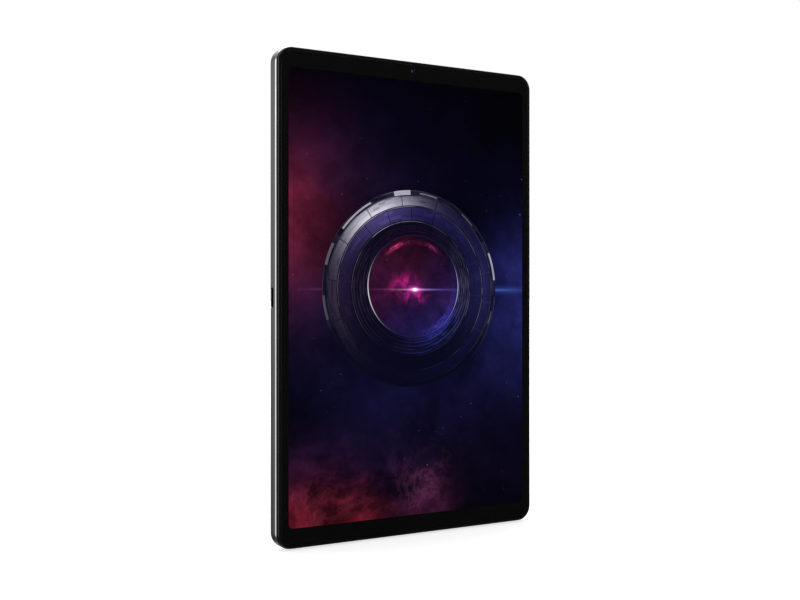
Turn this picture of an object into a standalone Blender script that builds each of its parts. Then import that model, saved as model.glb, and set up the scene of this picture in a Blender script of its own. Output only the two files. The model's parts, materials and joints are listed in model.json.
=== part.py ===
"""A compact tablet computer standing upright, modelled piece by piece.

Frame: metres, +Z up. X runs to the right seen from the display side, and the display faces -Y.
The origin is the bottom centre of the object. Every size below is in millimetres and the shape
helpers turn it into metres. A depth is measured backwards from the front of the cover glass.
"""
import math

import bmesh
import bpy
from mathutils import Matrix, Vector

MM = 0.001
OBJECT_NAME = "tablet_computer"

# ---- driving sizes ---------------------------------------------------------------------------
WIDTH = 129.5
HEIGHT = 208.5
THICKNESS = 7.8
CAMERA_BUMP = 0.9
BODY_CORNER = 7.0
SCREEN_W = 119.25
SCREEN_H = 190.8

HALF_W = WIDTH / 2
MID_Z = HEIGHT / 2
FRONT_Y = -(THICKNESS + CAMERA_BUMP) / 2

# ---- how the layers stack, as depths ---------------------------------------------------------
GLASS = (0.0, 0.7)
ADHESIVE = (0.75, 0.9)
LCD = (0.8, 1.35)
BACKLIGHT = (1.45, 2.55)
RIM = (0.08, 1.8)
GLASS_LEDGE = 0.95
PLATE = (2.65, 3.0)
SHELL = (1.85, THICKNESS)
SHELL_FLOOR = 7.05
BOARD = (4.5, 5.3)
BATTERY = (3.15, 6.6)
PORT_DEPTH = 5.35

# ---- how far each outline sits inside the side plane -----------------------------------------
RIM_INSET = 0.5
GLASS_SEAT_INSET = 1.65
GLASS_INSET = 1.83
WALL = 1.4
SKIRT_INSET = 1.6
POCKET_SIDE_INSET = 3.6
SHELL_CHAMFER = 0.5
SHELL_REAR_RADIUS = 1.25
PANEL_MARGIN = 1.0
POCKET_GAP = 0.4

# ---- places of the parts on the body ---------------------------------------------------------
FRONT_CAMERA = (0.0, 203.9)
LIGHT_SENSOR = (8.0, 203.9)
ISLAND_X = 48.8
ISLAND_Z = (167.6, 203.6)
ISLAND_W = 22.0
MAIN_LENS_Z = 194.4
MACRO_LENS_Z = 181.2
FLASH_Z = 171.9
POWER_Z = 150.0
VOLUME_Z = 172.0
TRAY_Z = (21.5, 36.5)
LEVER_PIVOT = (45.5, 27.2)
EJECT_Z = 22.8
SPEAKER_UPPER_X = (-56.0, -20.0)
SPEAKER_LOWER_X = (22.0, 58.0)
MIC_UPPER_X = 20.0
MIC_LOWER_X = -14.2
MAINBOARD_X = (-58.0, 36.0)
MAINBOARD_Z = (157.0, 203.0)
MAINBOARD_SCREWS = ((-54.0, 161.0), (-54.0, 190.0), (32.0, 161.0), (32.0, 199.0))
BOTTOM_BOARD_X = (-56.0, 18.0)
BOTTOM_BOARD_Z = (5.5, 20.0)
BOTTOM_BOARD_SCREWS = ((-52.0, 13.0), (14.0, 13.0))

# ---- standard sizes --------------------------------------------------------------------------
USB_OPENING = (8.34, 2.56)
USB_WALL = 0.22
USB_LENGTH = 6.4
USB_TONGUE = (6.69, 0.7)
CARD = (15.0, 11.0)
KEY_WIDTH = 2.2
KEY_PROUD = 0.35
KEY_GAP = 0.15
SLOT = (4.4, 1.3)
SLOT_PITCH = 6.0
SLOT_COUNT = 5

# ---- finishes: colour, roughness, metallic ---------------------------------------------------
FINISHES = {
    "anodised": ((0.072, 0.075, 0.082), 0.42, 1.0),
    "black_plastic": ((0.008, 0.008, 0.009), 0.45, 0.0),
    "black_glass": ((0.004, 0.004, 0.005), 0.05, 0.0),
    "clear_glass": ((0.02, 0.02, 0.03), 0.03, 0.0),
    "picture": ((0.045, 0.02, 0.07), 0.3, 0.0),
    "white_sheet": ((0.85, 0.85, 0.87), 0.5, 0.0),
    "adhesive": ((0.02, 0.02, 0.02), 0.8, 0.0),
    "board": ((0.012, 0.055, 0.04), 0.5, 0.0),
    "chip": ((0.02, 0.02, 0.022), 0.4, 0.0),
    "steel": ((0.55, 0.56, 0.58), 0.3, 1.0),
    "copper": ((0.85, 0.42, 0.28), 0.3, 1.0),
    "battery_wrap": ((0.03, 0.03, 0.032), 0.55, 0.0),
    "flex": ((0.5, 0.2, 0.03), 0.45, 0.0),
    "tungsten": ((0.2, 0.2, 0.21), 0.4, 1.0),
    "lens": ((0.03, 0.01, 0.06), 0.1, 0.0),
    "phosphor": ((0.85, 0.7, 0.2), 0.5, 0.0),
}

AXIS = {"X": 0, "Y": 1, "Z": 2}
SAME = 1e-5


def depth(value):
    """The Y place, in millimetres, of a depth behind the front of the glass."""
    return FRONT_Y + value


def around(centre, size):
    """The pair of limits of a length laid evenly about a centre."""
    return (centre - size / 2, centre + size / 2)


def inset_outline(amount):
    """X and Z limits of the body's outline moved inwards by amount."""
    return (-HALF_W + amount, HALF_W - amount), (amount, HEIGHT - amount)


# ---- scene ----------------------------------------------------------------------------------
def clear_scene():
    for obj in list(bpy.data.objects):
        bpy.data.objects.remove(obj, do_unlink=True)


def new_collection(name):
    collection = bpy.data.collections.new(name)
    bpy.context.scene.collection.children.link(collection)
    return collection


def make_material(name, finish):
    colour, roughness, metallic = FINISHES[finish]
    material = bpy.data.materials.new(name)
    material.use_nodes = True
    shader = material.node_tree.nodes["Principled BSDF"]
    shader.inputs["Base Color"].default_value = (*colour, 1.0)
    shader.inputs["Roughness"].default_value = roughness
    shader.inputs["Metallic"].default_value = metallic
    material.diffuse_color = (*colour, 1.0)
    return material


# ---- shapes: each returns a bmesh in world millimetres ---------------------------------------
def bevel_edges(bm, edges, size, steps):
    bmesh.ops.bevel(
        bm, geom=edges, offset=size, offset_type="OFFSET", segments=steps,
        profile=0.5, affect="EDGES", clamp_overlap=True,
    )


def end_loop(bm, way, plane):
    """The edges lying in one end plane of a box that was rounded along way."""
    return [e for e in bm.edges if all(abs(v.co[way] - plane) < SAME for v in e.verts)]


def rounded_box(x, d, z, corner=0.0, axis="Y", steps=6, low_edge=None, high_edge=None):
    """A box whose four edges along axis are rounded, then its two ends if asked.

    low_edge and high_edge are (size, steps) for the end at the lower and the higher coordinate.
    """
    low = Vector((x[0], depth(d[0]), z[0]))
    high = Vector((x[1], depth(d[1]), z[1]))
    bm = bmesh.new()
    bmesh.ops.create_cube(bm, size=1.0)
    bmesh.ops.scale(bm, verts=bm.verts, vec=high - low)
    bmesh.ops.translate(bm, verts=bm.verts, vec=(low + high) / 2)
    way = AXIS[axis]
    if corner:
        along = [e for e in bm.edges if abs(e.verts[0].co[way] - e.verts[1].co[way]) > SAME]
        bevel_edges(bm, along, corner, steps)
    for plane, rounding in ((low[way], low_edge), (high[way], high_edge)):
        if rounding:
            bevel_edges(bm, end_loop(bm, way, plane), *rounding)
    return bm


def cylinder(centre, radius, span, axis="Y", steps=24):
    """A cylinder: centre holds the other two coordinates, in X, Y, Z order, span its two ends."""
    bm = bmesh.new()
    bmesh.ops.create_cone(
        bm, cap_ends=True, segments=steps, radius1=radius, radius2=radius,
        depth=span[1] - span[0],
    )
    middle = sum(span) / 2
    if axis == "Y":
        turn, place = Matrix.Rotation(math.radians(90), 3, "X"), (centre[0], middle, centre[1])
    elif axis == "X":
        turn, place = Matrix.Rotation(math.radians(90), 3, "Y"), (middle, centre[0], centre[1])
    else:
        turn, place = Matrix.Identity(3), (centre[0], centre[1], middle)
    bmesh.ops.rotate(bm, verts=bm.verts, matrix=turn, cent=(0, 0, 0))
    bmesh.ops.translate(bm, verts=bm.verts, vec=place)
    return bm


def barrel(centre, radius, d, steps=24):
    """A cylinder along Y at (x, z), between two depths."""
    return cylinder(centre, radius, (depth(d[0]), depth(d[1])), "Y", steps)


# ---- objects --------------------------------------------------------------------------------
def add_object(name, bm, collection, origin=None):
    """Link a new object whose own origin is at origin, a point in world millimetres."""
    if origin is None:
        xs, ys, zs = zip(*(v.co for v in bm.verts))
        origin = [(min(c) + max(c)) / 2 for c in (xs, ys, zs)]
    origin = Vector(origin)
    bmesh.ops.translate(bm, verts=bm.verts, vec=-origin)
    bmesh.ops.scale(bm, verts=bm.verts, vec=(MM, MM, MM))
    mesh = bpy.data.meshes.new(name)
    bm.to_mesh(mesh)
    bm.free()
    obj = bpy.data.objects.new(name, mesh)
    obj.location = origin * MM
    collection.objects.link(obj)
    return obj


def piece(name, bm, finish, origin=None):
    obj = add_object(name, bm, PARTS, origin)
    obj.data.materials.append(make_material(name, finish))
    obj.data.shade_smooth()
    obj.data.set_sharp_from_angle(angle=math.radians(40))
    return obj


def combine(obj, bm, operation):
    """Cut bm out of obj, or join it to obj, with a Boolean."""
    count = len(obj.modifiers)
    tool = add_object(f"{obj.name}_tool_{count}", bm, CUTTERS)
    tool.hide_render = True
    tool.display_type = "WIRE"
    modifier = obj.modifiers.new(f"{operation.lower()}_{count}", "BOOLEAN")
    modifier.operation = operation
    modifier.solver = "EXACT"
    modifier.object = tool


def cut(obj, *shapes):
    for bm in shapes:
        combine(obj, bm, "DIFFERENCE")


def join(obj, *shapes):
    for bm in shapes:
        combine(obj, bm, "UNION")


def ribbon(name, x, outline):
    """A flat flex cable across x, whose side view is an outline of (depth, height) points."""
    curve = bpy.data.curves.new(name, "CURVE")
    curve.dimensions = "2D"
    curve.fill_mode = "BOTH"
    curve.extrude = (x[1] - x[0]) / 2 * MM
    spline = curve.splines.new("POLY")
    spline.points.add(len(outline) - 1)
    for point, (d, z) in zip(spline.points, outline):
        point.co = (depth(d) * MM, z * MM, 0.0, 1.0)
    spline.use_cyclic_u = True
    obj = bpy.data.objects.new(name, curve)
    obj.rotation_euler = (math.pi / 2, 0.0, math.pi / 2)
    obj.location = (sum(x) / 2 * MM, 0.0, 0.0)
    curve.materials.append(make_material(name, "flex"))
    PARTS.objects.link(obj)
    return obj


# ---- casing ---------------------------------------------------------------------------------
def shell_openings():
    """Shapes that pierce the shell: ports, keys, tray, sound slots, microphones and cameras."""
    outside_left = (-HALF_W - 1.0, -HALF_W + WALL + 0.6)
    outside_right = (HALF_W - WALL - 0.6, HALF_W + 1.0)
    below = (-1.0, WALL + 0.6)
    above = (HEIGHT - WALL - 0.6, HEIGHT + 1.0)
    mouth = [size + 0.26 for size in USB_OPENING]
    key_hole = KEY_WIDTH + 2 * KEY_GAP
    key_corner = key_hole * 0.49
    mouth_depth = around(PORT_DEPTH, mouth[1])
    yield rounded_box(outside_left, mouth_depth, around(MID_Z, mouth[0]), mouth[1] * 0.49, "X")
    yield rounded_box(around(0.0, mouth[0]), mouth_depth, below, mouth[1] * 0.49, "Z")
    for middle, length in ((POWER_Z, 9.0), (VOLUME_Z, 20.0)):
        hole = around(middle, length + 2 * KEY_GAP)
        yield rounded_box(outside_right, around(PORT_DEPTH, key_hole), hole, key_corner, "X")
    tray_hole = (TRAY_Z[0] - 0.2, TRAY_Z[1] + 0.2)
    yield rounded_box(outside_right, around(PORT_DEPTH, key_hole), tray_hole, key_corner, "X")
    for x_range, side in ((SPEAKER_UPPER_X, above), (SPEAKER_LOWER_X, below)):
        for number in range(SLOT_COUNT):
            x = sum(x_range) / 2 + (number - (SLOT_COUNT - 1) / 2) * SLOT_PITCH
            slot = around(x, SLOT[0])
            yield rounded_box(slot, around(PORT_DEPTH, SLOT[1]), side, SLOT[1] * 0.49, "Z", 4)
    for x, side in ((MIC_UPPER_X, above), (MIC_LOWER_X, below)):
        yield cylinder((x, depth(PORT_DEPTH)), 0.45, side, "Z", 12)
    for z, radius in ((MAIN_LENS_Z, 4.6), (MACRO_LENS_Z, 2.7), (FLASH_Z, 1.65)):
        yield barrel((ISLAND_X, z), radius, (SHELL_FLOOR - 1.0, THICKNESS + 1.0))


def build_rear_shell():
    x, z = inset_outline(0.0)
    shell = piece(
        "rear_shell",
        rounded_box(
            x, SHELL, z, BODY_CORNER, steps=8,
            low_edge=(SHELL_CHAMFER, 1), high_edge=(SHELL_REAR_RADIUS, 4),
        ),
        "anodised",
    )
    x, z = inset_outline(WALL)
    cut(shell, rounded_box(x, (SHELL[0] - 1.0, SHELL_FLOOR), z, BODY_CORNER - WALL, steps=8))
    cut(shell, *shell_openings())


def build_middle_frame():
    x, z = inset_outline(RIM_INSET)
    frame = piece(
        "middle_frame",
        rounded_box(x, RIM, z, BODY_CORNER - RIM_INSET, steps=8, low_edge=(0.35, 3)),
        "black_plastic",
    )
    x, z = inset_outline(SKIRT_INSET)
    join(frame, rounded_box(x, (RIM[1] - 0.4, PLATE[1]), z, BODY_CORNER - SKIRT_INSET, steps=8))
    x, z = inset_outline(GLASS_SEAT_INSET)
    cut(frame, rounded_box(x, (-1.0, GLASS_LEDGE), z, BODY_CORNER - GLASS_SEAT_INSET, steps=8))
    pocket_x, pocket_z = display_pocket()
    cut(frame, rounded_box(pocket_x, (0.5, PLATE[0]), pocket_z, 1.5, steps=4))
    flex_slot = (pocket_z[0] - 0.15, pocket_z[0] + 1.0)
    cut(frame, rounded_box((-11.0, 11.0), (PLATE[0] - 0.3, PLATE[1] + 0.5), flex_slot))
    cut(frame, barrel(FRONT_CAMERA, 2.2, (0.5, 4.0)), barrel(LIGHT_SENSOR, 1.2, (0.5, 4.0), 16))
    for spot in MAINBOARD_SCREWS + BOTTOM_BOARD_SCREWS:
        join(frame, barrel(spot, 1.6, (PLATE[1] - 0.1, BOARD[0] - 0.1), 16))
    for spot in MAINBOARD_SCREWS + BOTTOM_BOARD_SCREWS:
        cut(frame, barrel(spot, 0.85, (PLATE[1] + 0.1, BOARD[1]), 12))


# ---- display --------------------------------------------------------------------------------
def display_outline():
    """The display panel is the picture area plus a narrow margin all round."""
    x = around(0.0, SCREEN_W + 2 * PANEL_MARGIN + 0.35)
    z = around(MID_Z, SCREEN_H + 2 * PANEL_MARGIN)
    return x, z


def display_pocket():
    _, z = display_outline()
    x, _ = inset_outline(POCKET_SIDE_INSET)
    return x, (z[0] - POCKET_GAP, z[1] + POCKET_GAP)


def build_display():
    x, z = inset_outline(GLASS_INSET)
    corner = BODY_CORNER - GLASS_INSET
    piece("cover_glass", rounded_box(x, GLASS, z, corner, steps=8, low_edge=(0.3, 3)), "black_glass")

    ring_x, ring_z = inset_outline(GLASS_INSET + 0.22)
    ring = piece("glass_adhesive", rounded_box(ring_x, ADHESIVE, ring_z, corner - 0.22), "adhesive")
    pocket_x, pocket_z = display_pocket()
    cut(ring, rounded_box(pocket_x, (0.5, 1.2), pocket_z, 1.5, steps=4))
    cut(ring, barrel(FRONT_CAMERA, 2.3, (0.5, 1.2)), barrel(LIGHT_SENSOR, 1.3, (0.5, 1.2), 16))

    x, z = display_outline()
    piece("lcd_panel", rounded_box(x, LCD, z, 1.2, steps=3), "picture")
    piece("backlight_unit", rounded_box(x, BACKLIGHT, z, 1.2, steps=3), "white_sheet")

    fold = (z[0] - 0.3, z[0] - 0.15)
    run = (PLATE[1] + 0.2, PLATE[1] + 0.35)
    side_view = [
        (1.0, fold[0]), (run[1], fold[0]), (run[1], 26.0),
        (run[0], 26.0), (run[0], fold[1]), (1.0, fold[1]),
    ]
    ribbon("display_flex", (-10.0, 10.0), side_view)
    piece("display_connector", rounded_box((-8.0, 8.0), (3.5, 4.4), (14.0, 18.0)), "black_plastic")


# ---- cameras and sensors --------------------------------------------------------------------
def build_rear_cameras():
    main, macro, flash = ((ISLAND_X, z) for z in (MAIN_LENS_Z, MACRO_LENS_Z, FLASH_Z))
    plate = (THICKNESS + 0.05, THICKNESS + 0.6)
    top = THICKNESS + CAMERA_BUMP
    island = piece(
        "camera_island",
        rounded_box(around(ISLAND_X, ISLAND_W), plate, ISLAND_Z, 6.5, high_edge=(0.25, 2)),
        "anodised",
    )
    join(island, barrel(main, 6.1, (plate[0] + 0.2, top), 40))
    join(island, barrel(macro, 4.1, (plate[0] + 0.2, top), 32))
    seat = THICKNESS + 0.35
    for name, spot, radius, finish in (
        ("main_lens_window", main, 4.7, "clear_glass"),
        ("macro_lens_window", macro, 2.8, "clear_glass"),
        ("flash_window", flash, 1.8, "phosphor"),
    ):
        cut(island, barrel(spot, radius + 0.2, (seat, top + 1.0)))
        cut(island, barrel(spot, radius - 0.6, (THICKNESS - 1.0, top + 1.0)))
        thickness = 0.15 if spot == flash else 0.4
        piece(name, barrel(spot, radius, (seat + 0.05, seat + 0.05 + thickness)), finish)

    x, z = main
    housing = piece(
        "main_camera", rounded_box(around(x, 9.6), (3.3, 6.9), around(z, 9.6), 0.8), "black_plastic"
    )
    join(housing, barrel(main, 4.2, (6.5, THICKNESS + 0.05)))
    cut(housing, barrel(main, 3.5, (4.3, THICKNESS + 1.0)))
    piece("main_camera_lens", barrel(main, 3.25, (4.6, 7.45)), "lens")

    x, z = macro
    small = piece(
        "macro_camera", rounded_box(around(x, 6.0), (4.4, 6.9), around(z, 6.0), 0.5), "black_plastic"
    )
    join(small, barrel(macro, 2.3, (6.5, THICKNESS + 0.05)))
    x, z = flash
    piece("flash_led", rounded_box(around(x, 2.0), (6.8, 7.7), around(z, 2.0)), "phosphor")


def build_front_sensors():
    x, z = FRONT_CAMERA
    camera = piece(
        "front_camera", rounded_box(around(x, 5.4), (3.1, 4.3), around(z, 5.0), 0.4), "lens"
    )
    join(camera, barrel(FRONT_CAMERA, 2.0, (0.85, 3.5)))
    piece("ambient_light_sensor", barrel(LIGHT_SENSOR, 0.9, (0.85, 3.3), 16), "chip")


# ---- side keys ------------------------------------------------------------------------------
KEY_FLANGE_X = (62.4, 63.0)
SWITCH_X = (61.4, 62.05)


def key(name, middle, length, origin_x):
    """A key cap that passes the wall, on a wider flange that keeps it from falling out."""
    cap_x = (KEY_FLANGE_X[0] + 0.1, HALF_W + KEY_PROUD)
    cap_d = around(PORT_DEPTH, KEY_WIDTH)
    cap_z = around(middle, length)
    cap = rounded_box(cap_x, cap_d, cap_z, KEY_WIDTH * 0.49, "X", high_edge=(0.15, 2))
    obj = piece(name, cap, "anodised", (origin_x, depth(PORT_DEPTH), middle))
    flange_d = around(PORT_DEPTH, KEY_WIDTH + 0.8)
    join(obj, rounded_box(KEY_FLANGE_X, flange_d, around(middle, length + 1.6), 0.6, "X"))


def build_side_keys():
    key("power_button", POWER_Z, 9.0, HALF_W)
    key("volume_rocker", VOLUME_Z, 20.0, sum(KEY_FLANGE_X) / 2)
    switch_d = around(PORT_DEPTH, 2.4)
    switches = (
        ("power_switch", POWER_Z),
        ("volume_up_switch", VOLUME_Z + 6.5),
        ("volume_down_switch", VOLUME_Z - 6.5),
    )
    for name, z in switches:
        piece(name, rounded_box(SWITCH_X, switch_d, around(z, 3.4), 0.3, "X", 3), "steel")
    strip_z = (POWER_Z - 6.0, VOLUME_Z + 11.0)
    strip_d = around(PORT_DEPTH, 2.6)
    piece("side_key_flex", rounded_box((61.15, 61.3), strip_d, strip_z), "flex")
    piece("key_bracket", rounded_box((60.5, 61.05), strip_d, strip_z, 0.5, "X", 3), "steel")


# ---- card slot ------------------------------------------------------------------------------
def build_card_slot():
    tray_d = around(PORT_DEPTH, 1.3)
    plate_d = around(PORT_DEPTH, KEY_WIDTH)
    body_z = (TRAY_Z[0] + 3.0, TRAY_Z[1] - 0.3)
    centre = (HALF_W, depth(PORT_DEPTH), sum(TRAY_Z) / 2)
    tray = piece(
        "card_tray",
        rounded_box((63.75, HALF_W - 0.05), plate_d, TRAY_Z, KEY_WIDTH * 0.49, "X"),
        "anodised",
        centre,
    )
    join(tray, rounded_box((47.4, 63.9), tray_d, body_z, 0.5, "X", 3))
    card_x = around(55.7, CARD[0] + 0.2)
    card_z = around(sum(body_z) / 2, CARD[1] + 0.1)
    cut(tray, rounded_box(card_x, (tray_d[0] + 0.25, tray_d[1] + 1.0), card_z))
    cut(tray, cylinder((depth(PORT_DEPTH), EJECT_Z), 0.45, (62.0, 66.0), "X", 12))

    socket = piece(
        "card_socket", rounded_box((43.1, 62.6), around(PORT_DEPTH, 2.5), (21.4, 37.4)), "steel"
    )
    cut(socket, rounded_box((43.5, 63.5), around(PORT_DEPTH, 1.9), (21.9, 36.9)))

    rod_d = around(PORT_DEPTH, 0.8)
    rod = rounded_box((46.15, 63.2), rod_d, around(EJECT_Z, 0.8), 0.2, "X", 3)
    piece("eject_rod", rod, "steel")

    pivot_x, pivot_z = LEVER_PIVOT
    lever_d = around(PORT_DEPTH, 1.2)
    bar_z = (pivot_z - 5.0, pivot_z + 6.0)
    lever = piece(
        "eject_lever",
        rounded_box(around(pivot_x, 1.0), lever_d, bar_z, 0.3, "Y", 3),
        "steel",
        (pivot_x, depth(PORT_DEPTH), pivot_z),
    )
    join(lever, barrel(LEVER_PIVOT, 1.1, lever_d, 20))
    cut(lever, barrel(LEVER_PIVOT, 0.6, around(PORT_DEPTH, 3.0), 20))
    piece("lever_pin", barrel(LEVER_PIVOT, 0.5, around(PORT_DEPTH, 1.7), 20), "steel")


# ---- boards and power -----------------------------------------------------------------------
def shield(name, x, d, z, open_towards):
    """A sheet-metal can, open on the side that faces its board."""
    can = piece(name, rounded_box(x, d, z, 0.6, steps=3), "steel")
    sheet = 0.2
    inner_x = (x[0] + sheet, x[1] - sheet)
    inner_z = (z[0] + sheet, z[1] - sheet)
    inner_d = (d[0] + sheet, d[1] + 1.0) if open_towards == "rear" else (d[0] - 1.0, d[1] - sheet)
    cut(can, rounded_box(inner_x, inner_d, inner_z, 0.4, steps=3))


def build_boards():
    board = piece(
        "mainboard", rounded_box(MAINBOARD_X, BOARD, MAINBOARD_Z, 1.0, steps=3), "board"
    )
    notch_x = (MAINBOARD_X[0] - 1.0, SPEAKER_UPPER_X[1] + 1.0)
    cut(board, rounded_box(notch_x, (4.0, 6.0), (194.5, MAINBOARD_Z[1] + 1.0)))
    cut(board, *(barrel(spot, 0.95, (4.0, 6.0), 12) for spot in MAINBOARD_SCREWS))

    lower = piece(
        "bottom_board", rounded_box(BOTTOM_BOARD_X, BOARD, BOTTOM_BOARD_Z, 1.0, steps=3), "board"
    )
    cut(lower, rounded_box((-5.0, 5.0), (4.0, 6.0), (BOTTOM_BOARD_Z[0] - 1.0, 8.5)))
    cut(lower, *(barrel(spot, 0.95, (4.0, 6.0), 12) for spot in BOTTOM_BOARD_SCREWS))

    shield("processor_shield", (-40.0, -4.0), (3.62, 4.42), (165.0, 190.0), "rear")
    piece("processor", rounded_box((-31.0, -17.0), (3.95, 4.4), (170.5, 184.5), 0.4), "chip")
    piece("memory_chip", rounded_box((-14.0, -6.0), (3.95, 4.4), (171.0, 184.0), 0.3), "chip")
    shield("power_shield", (0.0, 29.0), (5.38, 6.6), (163.0, 190.0), "front")
    chamber = rounded_box((-48.0, 28.0), (3.1, 3.5), (164.0, 194.0), 4.0)
    piece("vapour_chamber", chamber, "copper")


def build_power():
    wrap = (0.8, 3)
    for name, x in (("battery_left", (-51.0, -0.8)), ("battery_right", (0.8, 51.0))):
        cell = rounded_box(x, BATTERY, (44.0, 153.0), 2.0, low_edge=wrap, high_edge=wrap)
        piece(name, cell, "battery_wrap")
    piece("battery_board", rounded_box((-30.0, 30.0), (4.4, 5.0), (153.3, 156.6)), "board")
    over = BATTERY[1] + 0.06
    on_board = BOARD[1] + 0.1
    front_side = [
        (on_board, 15.0), (on_board, 20.5), (over, 28.0),
        (over, 153.8), (on_board, 157.6), (on_board, 161.5),
    ]
    rear_side = [(d + 0.14, z) for d, z in reversed(front_side)]
    ribbon("main_flex", (-7.0, 7.0), front_side + rear_side)


# ---- ports ----------------------------------------------------------------------------------
def socket_shape(axis, across, along):
    """Outer body, hollow and tongue of an oblong socket that opens at along[0].

    across is the middle of its long side, along is (mouth, inner end) on the axis it faces.
    """
    mouth, end = along
    outer = [size + 2 * USB_WALL for size in USB_OPENING]
    hollow_end = end - math.copysign(0.6, end - mouth)
    outside = mouth - math.copysign(1.0, end - mouth)
    tongue_start = mouth + math.copysign(1.2, end - mouth)

    def shape(size, span, corner):
        ends, wide = tuple(sorted(span)), around(across, size[0])
        deep = around(PORT_DEPTH, size[1])
        x, z = (ends, wide) if axis == "X" else (wide, ends)
        return rounded_box(x, deep, z, corner, axis)

    body = shape(outer, along, outer[1] * 0.49)
    hollow = shape(USB_OPENING, (outside, hollow_end), USB_OPENING[1] * 0.49)
    tongue = shape(USB_TONGUE, (tongue_start, end - math.copysign(0.3, end - mouth)), 0.2)
    return body, hollow, tongue


def build_ports():
    inner_left = -HALF_W + WALL + 0.15
    places = (
        ("side_usb_port", "X", MID_Z, (inner_left, inner_left + USB_LENGTH)),
        ("bottom_usb_port", "Z", 0.0, (WALL + 0.15, WALL + 0.15 + USB_LENGTH)),
    )
    for name, axis, across, along in places:
        body, hollow, tongue = socket_shape(axis, across, along)
        port = piece(name, body, "steel")
        cut(port, hollow)
        join(port, tongue)
    flex = rounded_box((-56.6, -52.4), (BOARD[1] + 0.1, BOARD[1] + 0.25), (99.0, 158.6))
    piece("side_port_flex", flex, "flex")


# ---- sound, touch feedback and radio --------------------------------------------------------
def build_sound():
    for name, x, z, mouth in (
        ("speaker_upper", SPEAKER_UPPER_X, (195.5, 206.8), (205.6, 208.0)),
        ("speaker_lower", SPEAKER_LOWER_X, (1.7, 13.0), (0.5, 2.9)),
    ):
        box = piece(name, rounded_box(x, (3.2, 6.8), z, 0.8, steps=3), "black_plastic")
        cut(box, rounded_box((x[0] + 2.0, x[1] - 2.0), around(PORT_DEPTH, 2.0), mouth))
    for name, x, z in (
        ("microphone_upper", MIC_UPPER_X, (203.5, 206.9)),
        ("microphone_lower", MIC_LOWER_X, (1.6, 4.9)),
    ):
        piece(name, rounded_box(around(x, 3.6), around(PORT_DEPTH, 1.5), z, 0.3, steps=3), "steel")


def build_haptics():
    x = (-62.8, -57.2)
    wall = 0.3
    for level, z in (("upper", (130.0, 145.0)), ("lower", (62.0, 77.0))):
        case = piece(f"haptic_case_{level}", rounded_box(x, (3.3, 6.5), z, 0.5, steps=3), "steel")
        room_x = (x[0] + wall, x[1] - wall)
        cut(case, rounded_box(room_x, (3.3 + wall, 6.5 - wall), (z[0] + wall, z[1] + 1.0)))
        mass = rounded_box((x[0] + 0.7, x[1] - 0.7), (3.9, 5.9), (z[0] + 1.5, z[1] - 1.5), 0.4)
        piece(f"haptic_mass_{level}", mass, "tungsten")


def build_antennas():
    for name, z in (("antenna_upper", (162.0, 192.0)), ("antenna_lower", (14.0, 44.0))):
        piece(name, rounded_box((-62.8, -59.8), (3.3, 6.5), z, 0.6, steps=3), "copper")


# ---- screws ---------------------------------------------------------------------------------
def build_screws():
    head = (BOARD[1] + 0.05, BOARD[1] + 0.55)
    for group, spots in (
        ("mainboard_screw", MAINBOARD_SCREWS), ("bottom_board_screw", BOTTOM_BOARD_SCREWS)
    ):
        for number, spot in enumerate(spots, 1):
            screw = piece(f"{group}_{number}", barrel(spot, 1.3, head, 16), "steel")
            join(screw, barrel(spot, 0.65, (PLATE[1] + 0.4, head[1] - 0.2), 12))


clear_scene()
PARTS = new_collection(OBJECT_NAME)
CUTTERS = new_collection(f"{OBJECT_NAME}_cutters")
build_rear_shell()
build_middle_frame()
build_display()
build_rear_cameras()
build_front_sensors()
build_side_keys()
build_card_slot()
build_boards()
build_power()
build_ports()
build_sound()
build_haptics()
build_antennas()
build_screws()
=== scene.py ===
"""The looks of a compact tablet computer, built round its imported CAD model.

Everything is in metres in the model's own frame: X to the right seen from the display, the
display facing -Y, Z up. Small sizes are written in millimetres and multiplied by MM.
"""
import json
import math

import bmesh
import bpy
from mathutils import Euler, Matrix, Vector


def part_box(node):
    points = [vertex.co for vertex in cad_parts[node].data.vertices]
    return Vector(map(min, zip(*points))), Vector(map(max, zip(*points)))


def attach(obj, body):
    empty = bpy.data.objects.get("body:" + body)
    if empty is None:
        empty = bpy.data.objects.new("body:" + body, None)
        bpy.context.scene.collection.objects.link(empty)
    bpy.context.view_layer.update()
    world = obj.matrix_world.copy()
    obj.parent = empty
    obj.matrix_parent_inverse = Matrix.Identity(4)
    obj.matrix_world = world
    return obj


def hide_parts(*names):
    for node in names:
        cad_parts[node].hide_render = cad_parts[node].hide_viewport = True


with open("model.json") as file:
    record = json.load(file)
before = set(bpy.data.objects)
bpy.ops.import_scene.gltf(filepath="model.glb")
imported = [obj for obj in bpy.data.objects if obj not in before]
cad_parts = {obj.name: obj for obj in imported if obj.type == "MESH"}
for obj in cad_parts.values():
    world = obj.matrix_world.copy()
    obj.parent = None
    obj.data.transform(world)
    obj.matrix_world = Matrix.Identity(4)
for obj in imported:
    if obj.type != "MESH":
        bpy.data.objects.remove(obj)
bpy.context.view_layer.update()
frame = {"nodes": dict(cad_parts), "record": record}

MM = 0.001
AXIS = {"X": 0, "Y": 1, "Z": 2}
SAME = 1e-7  # places nearer to each other than this are one
SLIVER = 2e-6  # edges shorter than this are left over from a cut


# ---- places read from the CAD model ----------------------------------------------------------
def middle_of(node):
    """The middle of a CAD piece."""
    low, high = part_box(node)
    return (low + high) / 2


def radius_of(node):
    """Half the width of a round CAD piece."""
    low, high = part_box(node)
    return (high.x - low.x) / 2


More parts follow.
